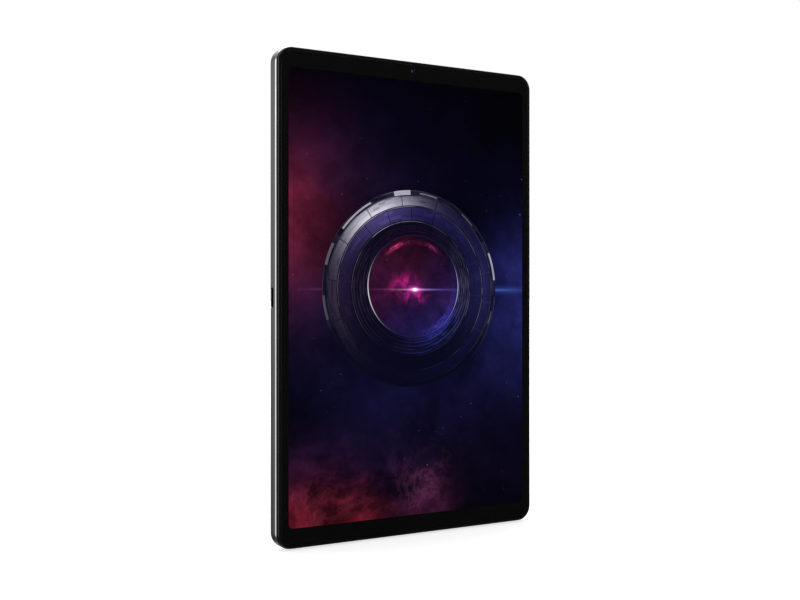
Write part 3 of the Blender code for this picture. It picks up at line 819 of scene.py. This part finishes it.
def paint_edges(ring):
    """The blocks and fine steps on the ring's rim, and the bright edges of its bands."""
    for degrees, reach, radii, bright in RIM_BLOCKS:
        block = ring.within(degrees, reach) * ring.radius.band(*radii, 0.1) * ring.streaks
        ring.picture.add((0.85 * bright, 0.82 * bright, bright), block)
    ring.paint(
        ring.radius.band(41.2, 43.0, 0.1) * ring.tones(46, 0.1, 0.1) * ring.arcs,
        wide=(0.030, 0.025, 0.040), left=(0.022, 0.016, 0.026), right=(0.020, 0.020, 0.050),
    )
    for edge, bright in ((29.5, 0.8), (36.05, 1.0), (40.95, 0.45), (RING_OUTER - 0.1, 0.25)):
        ring.paint(
            ring.radius.band(edge - 0.08, edge + 0.08, 0.12) * ring.arcs * bright,
            key=(0.42, 0.40, 0.46), wide=(0.16, 0.15, 0.20), left=(0.16, 0.14, 0.17),
            right=(0.26, 0.26, 0.33), low=(0.020, 0.022, 0.060),
        )


def paint_inner_wall(ring):
    """The turned steps that lead down into the ring's hole, and the bright lip round it."""
    ridges = ((ring.radius - 23.6) * (1 / 1.3)).math("FRACT").math("POWER", 3.0) * 0.9 + 0.1
    wall = ring.radius.band(23.2, 29.0, 0.12) * ring.streaks * ridges * ring.arcs
    ring.paint(
        wall, right=(0.080, 0.074, 0.130), low=(0.022, 0.028, 0.200), left=(0.030, 0.018, 0.030)
    )
    ring.picture.add((0.006, 0.002, 0.005), wall)
    ring.paint(
        ring.radius.band(24.0, 27.4, 0.5) * ring.brushed(1.1, 61.0).step(0.48, 0.66),
        wide=(0.016, 0.001, 0.004),
    )
    lip = ring.radius.band(RING_INNER, RING_INNER + 0.35, 0.16)
    ring.gleam(
        lip, ((0.80, 0.75, 0.79), 190.0, 17.0), ((0.42, 0.42, 0.56), 358.0, 13.0),
        ((0.07, 0.08, 0.40), 325.0, 20.0),
    )
    ring.picture.add((0.016, 0.008, 0.035), lip)
    ring.gleam(
        ring.radius.band(RING_INNER + 0.4, 24.6, 0.4) * ring.brushed(0.7, 9.0).step(0.3, 0.7),
        ((0.020, 0.026, 0.26), 308.0, 16.0),
    )


def paint_ring(ring):
    """A plain unbroken ring of stepped metal bands, lit from the upper left, before the sky."""
    whole = ring.radius.band(RING_INNER, RING_OUTER, 0.12)
    ring.picture.dim(whole * -1 + 1.0)
    ring.picture.add((0.0020, 0.0020, 0.0115), whole)
    ring.paint(whole, right=(0.0012, 0.0012, 0.0085))
    paint_bands(ring)
    paint_edges(ring)
    paint_inner_wall(ring)


def lit_picture():
    """A glossy black surface that gives out the picture's light."""
    material, tree, shader = new_material("lit_display")
    picture = Picture(tree)
    ring = Ring(picture)
    paint_sky(picture)
    paint_hole(picture, ring)
    paint_star(picture)
    paint_stars(picture)
    paint_ring(ring)
    dress(
        tree, shader, Base_Color=(0.0003, 0.0003, 0.0003), Emission_Color=picture.light,
        Emission_Strength=1.0, Roughness=picture.noise(24.0, 6.0) * 0.08 + 0.03,
    )
    return material


LENS_COVER = clear_glass()
BORDER_GLASS = border_glass()
LIT_PICTURE = lit_picture()
BOARD = circuit_board()
FLEX = flex_film()
FLASH = flash_glass()
VIOLET_LENS = lens_with_painted_sheen("violet_coated_lens", (0.006, 0.002, 0.012), (0.12, 0.03, 0.30))
# Painted glint: the front lens is bright violet where it faces the viewer and dark towards its edge.
SELFIE_LENS_PAINTED_GLINT = lens_with_painted_sheen("front_coated_lens", (0.13, 0.11, 0.42), (0.02, 0.01, 0.06))
TEAL_LENS = lens_with_painted_sheen("teal_coated_lens", (0.002, 0.004, 0.008), (0.02, 0.12, 0.20))


# ---- casing ----------------------------------------------------------------------------------
def oblong(middle, length, width, axis, rings, steps=10):
    """A closed tool with a pill-shaped section, longest along Z, or along X for the Z axis.

    Each ring is (place on the axis, growth of the outline there, material up to the next ring).
    """
    long_way = "X" if axis == "Z" else "Z"
    reach = max(length - width, 0.0) / 2
    bm = bmesh.new()
    loops = []
    for place, growth, _ in rings:
        radius = width / 2 + growth
        loop = []
        for end in (1, -1):
            for number in range(steps + 1):
                turn = math.pi * (number / steps - 0.5)
                spot = Vector(middle)
                spot[AXIS[long_way]] += end * (reach + radius * math.cos(turn))
                spot.y += end * radius * math.sin(turn)
                spot[AXIS[axis]] = place
                loop.append(bm.verts.new(spot))
        loops.append(loop)
    for near, far, ring in zip(loops, loops[1:], rings):
        for number in range(len(near)):
            after = (number + 1) % len(near)
            face = bm.faces.new((near[number], near[after], far[after], far[number]))
            face.material_index = ring[2]
    bm.faces.new(loops[0])
    bm.faces.new(loops[-1])
    bmesh.ops.remove_doubles(bm, verts=bm.verts, dist=SAME)
    bmesh.ops.recalc_face_normals(bm, faces=bm.faces)
    return bm


def wall_hole(middle, length, width, side, flare=HOLE_FLARE):
    """The tool that opens one wall of the shell and cuts a bright flare round its mouth."""
    axis, sign = side[1], 1 if side[0] == "+" else -1
    face = (SHELL_HIGH if sign > 0 else SHELL_LOW)[AXIS[axis]]
    beyond = 0.5 * MM
    rings = (
        (face - sign * (SHELL_WALL + 0.6 * MM), 0.0, 0),
        (face - sign * flare, 0.0, 1),
        (face + sign * beyond, flare + beyond, 0),
    )
    return oblong(middle, length, width, axis, rings), ANODISED, CUT_METAL


def shell_holes():
    """Every opening of the shell, at the place of the CAD piece that fills it."""
    tools = []
    for node, side, axis in (("side_usb_port", "-X", 2), ("bottom_usb_port", "-Z", 0)):
        low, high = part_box(node)
        length, width = (high - low)[axis] - SOCKET_LAP, high.y - low.y - SOCKET_LAP
        tools.append(wall_hole(middle_of(node), length, width, side))
    for node, flange in (("power_button", KEY_FLANGE), ("volume_rocker", KEY_FLANGE), ("card_tray", 0)):
        low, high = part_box(node)
        middle = Vector((high.x, PORT_Y, middle_of(node).z))
        length = high.z - low.z - 2 * flange + KEY_CLEARANCE
        tools.append(wall_hole(middle, length, KEY_WIDTH + KEY_CLEARANCE, "+X", 0.1 * MM))
    for node, side in (("speaker_upper", "+Z"), ("speaker_lower", "-Z")):
        for number in range(SLOT_COUNT):
            shift = (number - (SLOT_COUNT - 1) / 2) * SLOT_PITCH
            middle = Vector((middle_of(node).x + shift, PORT_Y, 0))
            tools.append(wall_hole(middle, *SLOT, side, 0.12 * MM))
    for node, side in (("microphone_upper", "+Z"), ("microphone_lower", "-Z")):
        middle = Vector((middle_of(node).x, PORT_Y, 0))
        tools.append(wall_hole(middle, MIC_HOLE, MIC_HOLE, side, 0.06 * MM))
    for node in BACK_WINDOWS:
        section = plug(radius_of(node) - 0.1 * MM, -3 * MM, MM)
        tools.append((lathe(section, middle_of(node), SHELL_HIGH.y, 40), BLACK_MOULDING))
    return tools


def build_shell():
    """The metal tub, hollowed out, with a bright chamfer round its mouth and all its openings."""
    shell = add_piece(
        "rear_shell_body",
        rounded_box(
            SHELL_LOW, SHELL_HIGH, BODY_CORNER,
            low_edge=(MOUTH_CHAMFER, 1, 1), high_edge=(REAR_RADIUS, 8, 0),
        ),
        (ANODISED, CUT_METAL), replaces=["rear_shell"],
    )
    depth = (SHELL_LOW.y - 1 * MM, SHELL_HIGH.y - SHELL_FLOOR)
    inside = inset_box(SHELL_LOW, SHELL_HIGH, SHELL_WALL, depth)
    cavity = rounded_box(*inside, BODY_CORNER - SHELL_WALL)
    combine(shell, [(cavity, BLACK_MOULDING)] + shell_holes())


def build_rim():
    """The black frame whose lip shows between the glass and the bright chamfer."""
    lip_high = Vector((RIM_HIGH.x, SHELL_LOW.y - RIM_GAP, RIM_HIGH.z))
    corner = BODY_CORNER - (RIM_LOW.x - SHELL_LOW.x)
    rim = add_piece(
        "display_rim",
        rounded_box(RIM_LOW, lip_high, corner, low_edge=(RIM_EDGE_RADIUS, 5, 1)),
        (RIM_WALL_PAINTED_SHADE, RIM_EDGE, RIM_PLASTIC), replaces=["middle_frame"],
    )
    for face in rim.data.polygons:
        if face.normal.y < -0.99:  # the flat front of the lip, between the glass and the edge
            face.material_index = 2
    skirt_reach = (lip_high.y - 0.4 * MM, FRONT_Y + PLATE_BACK)
    skirt = inset_box(RIM_LOW, lip_high, SKIRT_INSET, skirt_reach)
    combine(rim, [(rounded_box(*skirt, corner - SKIRT_INSET), RIM_PLASTIC)], "UNION")

    seat = inset_box(RIM_LOW, lip_high, GLASS_SEAT, (FRONT_Y - 1 * MM, FRONT_Y + GLASS_SEAT_DEPTH))
    spare = Vector((0.35 * MM, 0, 0.4 * MM))
    pocket_low, pocket_high = PANEL_LOW - spare, PANEL_HIGH + spare
    pocket_low.y, pocket_high.y = FRONT_Y, FRONT_Y + POCKET_DEPTH
    tools = [
        (rounded_box(*seat, corner - GLASS_SEAT), RIM_PLASTIC),
        (rounded_box(pocket_low, pocket_high, 1.5 * MM, steps=6), RIM_PLASTIC),
    ]
    for node, radius in (("front_camera", 2.2 * MM), ("ambient_light_sensor", 1.2 * MM)):
        hole = lathe(plug(radius, 0, 4 * MM), middle_of(node), FRONT_Y, 32)
        tools.append((hole, RIM_PLASTIC))
    combine(rim, tools)


# ---- display ---------------------------------------------------------------------------------
def build_display():
    """The cover glass with its black print, and the clear middle with the lit panel bonded on."""
    corner = BODY_CORNER - (GLASS_LOW.x - SHELL_LOW.x)
    border = add_piece(
        "cover_glass_sheet",
        rounded_box(GLASS_LOW, GLASS_HIGH, corner, low_edge=(GLASS_EDGE_RADIUS, 6, 0)),
        (BORDER_GLASS,), replaces=["cover_glass"],
    )
    size = (PICTURE_W, 6 * MM, PICTURE_H)
    opening = rounded_box(*box_around((0, FRONT_Y, BODY_MIDDLE.z), size), PICTURE_CORNER, steps=10)
    camera_hole = lathe(plug(CAMERA_OPENING, -MM, 2 * MM), middle_of("front_camera"), FRONT_Y, 40)
    combine(border, [(opening, BORDER_GLASS), (camera_hole, LENS_BARREL)])

    size = (PICTURE_W - 0.01 * MM, 0, PICTURE_H - 0.01 * MM)
    low, high = box_around((0, 0, BODY_MIDDLE.z), size)
    low.y, high.y = FRONT_Y + 0.005 * MM, PANEL_HIGH.y
    add_piece(
        "lit_display_panel", rounded_box(low, high, PICTURE_CORNER, steps=10),
        (LIT_PICTURE,), replaces=["lcd_panel"],
    )


def build_front_camera():
    """A small stepped barrel with its lens, behind a thin window in the glass's black border."""
    spot = middle_of("front_camera")
    steps = in_mm((
        (0.0, 0.9), (1.2, 0.9), (1.2, 0.06), (1.05, 0.06), (1.0, 0.2),
        (0.86, 0.22), (0.82, 0.36), (0.68, 0.38), (0.64, 0.62), (0.0, 0.62),
    ))
    barrel = lathe(steps, spot, FRONT_Y, 40)
    add_piece("front_camera_barrel", barrel, (LENS_BARREL,))
    dome = lathe(dome_profile(0.62 * MM, 0.22 * MM, 0.14 * MM), spot, FRONT_Y + 0.6 * MM, 40, -1.0)
    add_piece("front_camera_lens", dome, (SELFIE_LENS_PAINTED_GLINT,))
    window = lathe(in_mm(plug(1.24, 0.01, 0.05)), spot, FRONT_Y, 40)
    add_piece("front_camera_window", window, (LENS_COVER,))


def dome_profile(radius, rise, base, count=8):
    """Half the section of a domed lens: a flat base, a short side and a curved top."""
    bend = (radius * radius + rise * rise) / (2 * rise)
    top = math.asin(radius / bend)
    curve = [
        (bend * math.sin(top * i / count), base + bend * math.cos(top * i / count) - bend + rise)
        for i in range(count, 0, -1)
    ]
    return [(0.0, 0.0), (radius, 0.0)] + curve + [(0.0, base + rise)]


# ---- rear cameras ----------------------------------------------------------------------------
def ring_profile(inner, outer, foot, top, bevel):
    """The section of a raised ring with cut edges on both sides of its top."""
    return [
        (inner, foot), (inner, top - bevel), (inner + bevel, top), (outer - bevel, top),
        (outer, top - bevel), (outer, foot),
    ]


def build_camera_island():
    """The raised plate round the rear cameras, with a bright ring round each of the two lenses."""
    low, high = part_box("camera_island")
    plate_high = Vector((high.x, SHELL_HIGH.y + 0.6 * MM, high.z))
    plate = add_piece(
        "camera_plate", rounded_box(low, plate_high, PLATE_CORNER, high_edge=(0.28 * MM, 4, 1)),
        (ANODISED, CUT_METAL), replaces=["camera_island"],
    )
    holes = [
        lathe(plug(radius_of(node) + 0.15 * MM, -MM, 2 * MM), middle_of(node), SHELL_HIGH.y)
        for node in BACK_WINDOWS
    ]
    combine(plate, [(hole, CUT_METAL) for hole in holes])
    for node, width in (("main_lens_window", 1.25 * MM), ("macro_lens_window", 1.15 * MM)):
        inner = radius_of(node) + 0.06 * MM
        section = ring_profile(inner, inner + width, 0.2 * MM, high.y - SHELL_HIGH.y, 0.2 * MM)
        ring = lathe(section, middle_of(node), SHELL_HIGH.y, 96)
        for face in ring.faces:
            face.material_index = 1 if abs(face.normal.y) < 0.9 else 0
        name = node.replace("window", "ring")
        add_piece(name, ring, (ANODISED, CUT_METAL))


def stepped_hood(outer, inner, depth, steps):
    """The section of a light trap: a ring whose inner wall goes down in steps."""
    profile = [(outer, 0.0), (outer, depth), (inner, depth)]
    for number in range(1, steps + 1):
        radius = inner + (outer - 0.15 * MM - inner) * number / steps
        height = depth * (1 - number / steps)
        profile.append((profile[-1][0], height))
        if number < steps:
            profile.append((radius, height))
    return profile


def build_lens_windows():
    """A clear cover and a black stepped hood in front of each of the two rear lenses."""
    edge = 0.08 * MM
    for node, lens_radius in (("main_lens_window", MAIN_LENS), ("macro_lens_window", MACRO_LENS)):
        low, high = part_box(node)
        spot, radius, thickness = middle_of(node), radius_of(node), high.y - low.y
        pane = [
            (0, 0), (radius, 0), (radius, thickness - edge), (radius - edge, thickness),
            (0, thickness),
        ]
        add_piece(
            node.replace("window", "cover"), lathe(pane, spot, low.y), (LENS_COVER,),
            replaces=[node],
        )
        section = stepped_hood(radius - 0.1 * MM, lens_radius + 0.7 * MM, 0.30 * MM, 4)
        hood = lathe(section, spot, low.y - 0.04 * MM, outwards=-1.0)
        add_piece(node.replace("window", "hood"), hood, (LENS_BARREL,))


def build_focus_lens():
    """The barrel that moves along Y to focus, with its domed front glass."""
    low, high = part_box("main_camera_lens")
    spot, radius, length = middle_of("main_lens_window"), radius_of("main_camera_lens"), high.y - low.y
    section = [
        (0.0, 0.0), (radius, 0.0), (radius, length - 0.1 * MM), (radius - 0.1 * MM, length),
        (MAIN_LENS + 0.35 * MM, length), (MAIN_LENS + 0.3 * MM, length - 0.2 * MM),
        (MAIN_LENS + 0.1 * MM, length - 0.2 * MM), (MAIN_LENS + 0.05 * MM, length - 0.45 * MM),
        (0.0, length - 0.45 * MM),
    ]
    add_piece(
        "focus_barrel", lathe(section, spot, low.y), (LENS_BARREL,),
        body="main_camera_lens", replaces=["main_camera_lens"],
    )
    dome = dome_profile(MAIN_LENS, 0.33 * MM, 0.08 * MM)
    add_piece(
        "focus_lens_element", lathe(dome, spot, high.y - 0.44 * MM), (VIOLET_LENS,),
        body="main_camera_lens",
    )


def build_macro_lens():
    """The domed glass on the fixed macro camera."""
    base_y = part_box("macro_camera")[1].y + 0.02 * MM
    dome = dome_profile(MACRO_LENS, 0.35 * MM, 0.08 * MM)
    add_piece(
        "macro_lens_element", lathe(dome, middle_of("macro_lens_window"), base_y, 48),
        (TEAL_LENS,),
    )


def build_flash(ridges=6):
    """The flash's diffuser, with round ridges moulded into its face."""
    low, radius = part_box("flash_window")[0], radius_of("flash_window")
    section = [(0.0, 0.0), (radius, 0.0), (radius, 0.26 * MM)]
    for number in range(ridges, 0, -1):
        edge = (radius - 0.1 * MM) * number / ridges
        section += [(edge, 0.30 * MM), (edge - 0.05 * MM, 0.23 * MM)]
    section.append((0.0, 0.28 * MM))
    add_piece(
        "flash_lens", lathe(section, middle_of("flash_window"), low.y - 0.1 * MM, 48), (FLASH,),
        replaces=["flash_window"],
    )


# ---- keys, tray and sockets ------------------------------------------------------------------
def add_cap(name, node, low, high, edge):
    """The metal cap of a key or of the tray, rounded to fit its opening in the shell."""
    cap = rounded_box(low, high, KEY_CORNER, "X", 12, high_edge=edge)
    return add_piece(name, cap, (ANODISED,), body=node, replaces=[node])


def build_key(name, node):
    """A key cap with softly rounded edges on the flange that keeps it in the wall."""
    low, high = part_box(node)
    cap_low = Vector((low.x + 0.1 * MM, PORT_Y - KEY_WIDTH / 2, low.z + KEY_FLANGE))
    cap_high = Vector((high.x, PORT_Y + KEY_WIDTH / 2, high.z - KEY_FLANGE))
    key = add_cap(name, node, cap_low, cap_high, (0.22 * MM, 5, 0))
    flange = rounded_box(low, (low.x + 0.6 * MM, high.y, high.z), 0.6 * MM, "X", 6)
    combine(key, [(flange, ANODISED)], "UNION")


def build_tray():
    """The card tray: a cap like the keys', a thin bed with a recess for the card, a pin hole."""
    low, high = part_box("card_tray")
    cap_low = Vector((high.x - 0.95 * MM, PORT_Y - KEY_WIDTH / 2, low.z))
    tray = add_cap("card_tray_body", "card_tray", cap_low, high, (0.16 * MM, 4, 0))
    bed_low = Vector((low.x, PORT_Y - 0.65 * MM, low.z + 3.0 * MM))
    bed_high = Vector((cap_low.x + 0.15 * MM, PORT_Y + 0.65 * MM, high.z - 0.3 * MM))
    combine(tray, [(rounded_box(bed_low, bed_high, 0.5 * MM, "Y", 5), BLACK_MOULDING)], "UNION")

    card_z = (bed_low.z + bed_high.z) / 2
    card_low = Vector((48.1 * MM, PORT_Y - 0.4 * MM, card_z - CARD_HALF))
    card_high = Vector((63.3 * MM, PORT_Y + 2 * MM, card_z + CARD_HALF))
    recess = rounded_box(card_low, card_high, 0.4 * MM, "Y", 4)
    pin_rings = (
        (high.x - 2.2 * MM, 0.0, 0), (high.x - 0.08 * MM, 0.0, 0), (high.x + MM, 1.08 * MM, 0),
    )
    pin_middle = (0, PORT_Y, middle_of("eject_rod").z)
    pin_hole = oblong(pin_middle, 0.9 * MM, 0.9 * MM, "X", pin_rings, 12)
    combine(tray, [(recess, BLACK_MOULDING), (pin_hole, LENS_BARREL)])


def build_socket(name, node, turned):
    """An oblong charging socket: a rolled steel shell with a tongue that carries gold contacts.

    It is built with its mouth at the origin, its long side along X and its depth along +Z, and a
    turned socket opens towards -X instead of -Z.
    """
    low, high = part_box(node)
    size = high - low
    length, depth = (size.z, size.x) if turned else (size.x, size.z)
    half = Vector((length / 2, size.y / 2, 0))
    wall = Vector((SOCKET_WALL, SOCKET_WALL, 0))
    corner = size.y * 0.49
    deep = Vector((0, 0, depth))
    shell = rounded_box(-half, half + deep, corner, "Z", 12, low_edge=(0.06 * MM, 2, 0))
    hollow = rounded_box(
        wall - half - Vector((0, 0, MM)), half - wall + deep - Vector((0, 0, 0.6 * MM)),
        corner - SOCKET_WALL, "Z", 12,
    )
    tongue_edge = (0.08 * MM, 2, 0)
    tongue = rounded_box(
        (-3.345 * MM, -0.35 * MM, 1.2 * MM), (3.345 * MM, 0.35 * MM, depth - 0.3 * MM), 0.2 * MM,
        "Y", 4, low_edge=tongue_edge, high_edge=tongue_edge,
    )
    if turned:
        place = Matrix.Translation((low.x, PORT_Y, middle_of(node).z))
        place = place @ Matrix.Rotation(math.radians(90), 4, "Y")
    else:
        place = Matrix.Translation((0, PORT_Y, low.z))
    contacts = socket_contacts()
    for bm in (shell, hollow, tongue, contacts):
        bmesh.ops.transform(bm, matrix=place, verts=bm.verts)
    socket = add_piece(name, shell, (STEEL,), replaces=[node])
    combine(socket, [(hollow, STEEL)])
    combine(socket, [(tongue, BLACK_MOULDING)], "UNION")
    add_piece(f"{name}_contacts", contacts, (GOLD,))


def socket_contacts(count=12):
    """A row of gold strips on each face of the tongue."""
    contacts = bmesh.new()
    for side in (-1, 1):
        for number in range(count):
            centre = ((number - (count - 1) / 2) * 0.5 * MM, side * 0.36 * MM, 3.2 * MM)
            made = bmesh.ops.create_cube(contacts, size=1.0)["verts"]
            bmesh.ops.scale(contacts, verts=made, vec=(0.26 * MM, 0.04 * MM, 3.2 * MM))
            bmesh.ops.translate(contacts, verts=made, vec=centre)
    return contacts


def build_speaker_mesh(name, node, z):
    """A woven steel screen behind the sound slots."""
    columns, rows, pitch, wire = 60, 4, 0.55 * MM, 0.17 * MM
    bm = bmesh.new()
    bmesh.ops.create_grid(bm, x_segments=columns, y_segments=rows, size=0.5)
    bmesh.ops.scale(bm, verts=bm.verts, vec=(columns * pitch, rows * pitch, 1))
    bmesh.ops.wireframe(
        bm, faces=bm.faces, thickness=wire, offset=0.0, use_replace=True, use_boundary=True,
        use_even_offset=True,
    )
    bmesh.ops.translate(bm, verts=bm.verts, vec=(middle_of(node).x, PORT_Y, z))
    add_piece(name, bm, (STEEL,))


# ---- hidden pieces keep their CAD shape ------------------------------------------------------
SLOT_FINISHES = {
    "adhesive": FOAM,
    "backlight": WHITE_SHEET,
    "flex_cable": FLEX,
    "black_moulding": BLACK_MOULDING,
    "lens_barrel": LENS_BARREL,
    "flash_diffuser": FLASH,
    "chip": CHIP,
    "steel": STEEL,
    "circuit_board": BOARD,
    "copper": COPPER,
    "battery_wrap": BATTERY_WRAP,
    "tungsten": TUNGSTEN,
}


def finish_cad_nodes():
    """Give each CAD piece that still shows the finish of its material slot."""
    for entry in frame["record"]["subparts"]:
        node = frame["nodes"][entry["node"]]
        if node.hide_render:
            continue
        node.data.materials.clear()
        node.data.materials.append(SLOT_FINISHES[entry["material_slot"]])


# ---- studio ----------------------------------------------------------------------------------
STRIP_WAY = (-0.93, -0.37)
STRIP_LIGHT = 0.95
BEHIND_LIGHT = 0.36
CARD_LIGHT = 0.75
FLAG_SHADE = 0.95
DARK_LIGHT = 0.012
FLOOR_LIGHT = 0.71
FLOOR_Z = -0.3 * MM  # just under the foot, so that the two never share a plane
WHITE = (1.0, 1.0, 1.0)


def build_world():
    """White to the camera. For the object it is dark before the display, pale behind it, brighter
    towards the top, and brightest in an upright strip on the left. Straight behind it, dark flags
    and bright cards above and below make the rounded corners stand out."""
    world = bpy.data.worlds.new("studio")
    bpy.context.scene.world = world
    world.use_nodes = True
    tree = world.node_tree
    direction = add_node(tree, "TexCoord").outputs["Generated"]
    split = add_node(tree, "SeparateXYZ", {0: direction})
    x, y, z = (Field(tree, socket) for socket in split.outputs)
    level = length_of(x, y).math("MAXIMUM", 0.05)
    facing = (x * STRIP_WAY[0] + y * STRIP_WAY[1]).math("DIVIDE", level)
    height, straight = z.math("ABSOLUTE"), y.step(0.72, 0.80)
    strip = facing.step(0.86, 0.985) * height.step(0.48, 0.32) * STRIP_LIGHT
    strip = strip * (z * 1.2 + 1.03).math("MAXIMUM", 0.25)
    behind = y.step(-0.55, 0.15) * BEHIND_LIGHT
    behind = behind * (z * 2.3 + 0.92).math("MAXIMUM", 0.25)
    flag = height.step(0.22, 0.32) * x.band(-0.42, -0.10, 0.04) * straight * -FLAG_SHADE + 1.0
    card = height.step(0.22, 0.34) * x.band(0.02, 0.50, 0.06) * straight * CARD_LIGHT
    grey = (strip + behind) * flag + card + DARK_LIGHT
    seen = Field(tree, add_node(tree, "LightPath").outputs["Is Camera Ray"])
    background = tree.nodes["Background"]
    feed(tree, background.inputs["Strength"], seen + grey * (seen * -1 + 1.0))
    feed(tree, background.inputs["Color"], WHITE)


def build_floor():
    """A pale floor whose own light keeps it even, so that only soft shadows show near the part."""
    material, tree, shader = new_material("pale_floor")
    (x, y, _), _ = object_place(tree)
    far = length_of(x, y).step(150.0, 520.0)
    dress(
        tree, shader, Base_Color=(0.75, 0.75, 0.75), Roughness=0.9, Specular_IOR_Level=0.0,
        Emission_Color=WHITE, Emission_Strength=far * (1.02 - FLOOR_LIGHT) + FLOOR_LIGHT,
    )
    bm = bmesh.new()
    bmesh.ops.create_grid(bm, x_segments=1, y_segments=1, size=30.0)
    floor = new_object("studio_floor", bm, (material,))
    floor.location.z = FLOOR_Z
    floor.visible_glossy = False


def add_softbox(name, place, size, brightness, target=(0, 0, 0.104)):
    """A rectangular lamp facing the target, with brightness as its radiance."""
    lamp = bpy.data.lights.new(name, "AREA")
    lamp.shape = "RECTANGLE"
    lamp.size, lamp.size_y = size
    lamp.energy = brightness * size[0] * size[1] * math.pi
    obj = bpy.data.objects.new(name, lamp)
    obj.location = place
    obj.rotation_euler = (Vector(target) - Vector(place)).to_track_quat("-Z", "Y").to_euler()
    obj.visible_camera = False
    bpy.context.scene.collection.objects.link(obj)


def build_lights():
    """Soft light from the right, from above and from behind."""
    add_softbox("right_softbox", (1.1, -0.05, 0.45), (0.5, 0.8), 0.9)
    add_softbox("top_softbox", (0.0, 0.25, 1.1), (1.2, 1.0), 0.9, (0, 0.1, 0))
    add_softbox("rear_softbox", (0.35, 1.1, 0.6), (0.9, 0.6), 0.5)


def build_camera():
    """The camera that sees the object from its left front, level with its middle."""
    camera = bpy.data.cameras.new("viewpoint")
    camera.lens = CAMERA_LENS
    camera.sensor_width = 36.0
    camera.shift_y = CAMERA_SHIFT_Y
    camera.clip_start = 0.01
    obj = bpy.data.objects.new("viewpoint", camera)
    obj.location = Vector((0, FRONT_Y, BODY_MIDDLE.z)) + CAMERA_FROM_SCREEN
    obj.rotation_euler = Euler((math.radians(90), 0, CAMERA_YAW))
    bpy.context.scene.collection.objects.link(obj)
    bpy.context.scene.camera = obj


# ---- build -----------------------------------------------------------------------------------
build_shell()
build_rim()
build_display()
build_front_camera()
build_camera_island()
build_lens_windows()
build_focus_lens()
build_macro_lens()
build_flash()
build_key("power_key", "power_button")
build_key("volume_key", "volume_rocker")
build_tray()
build_socket("side_socket", "side_usb_port", True)
build_socket("bottom_socket", "bottom_usb_port", False)
build_speaker_mesh("speaker_mesh_upper", "speaker_upper", SHELL_HIGH.z - SHELL_WALL - 0.12 * MM)
build_speaker_mesh("speaker_mesh_lower", "speaker_lower", SHELL_LOW.z + SHELL_WALL + 0.12 * MM)
finish_cad_nodes()

build_world()
build_floor()
build_lights()
build_camera()
bpy.context.scene.view_settings.view_transform = "Standard"
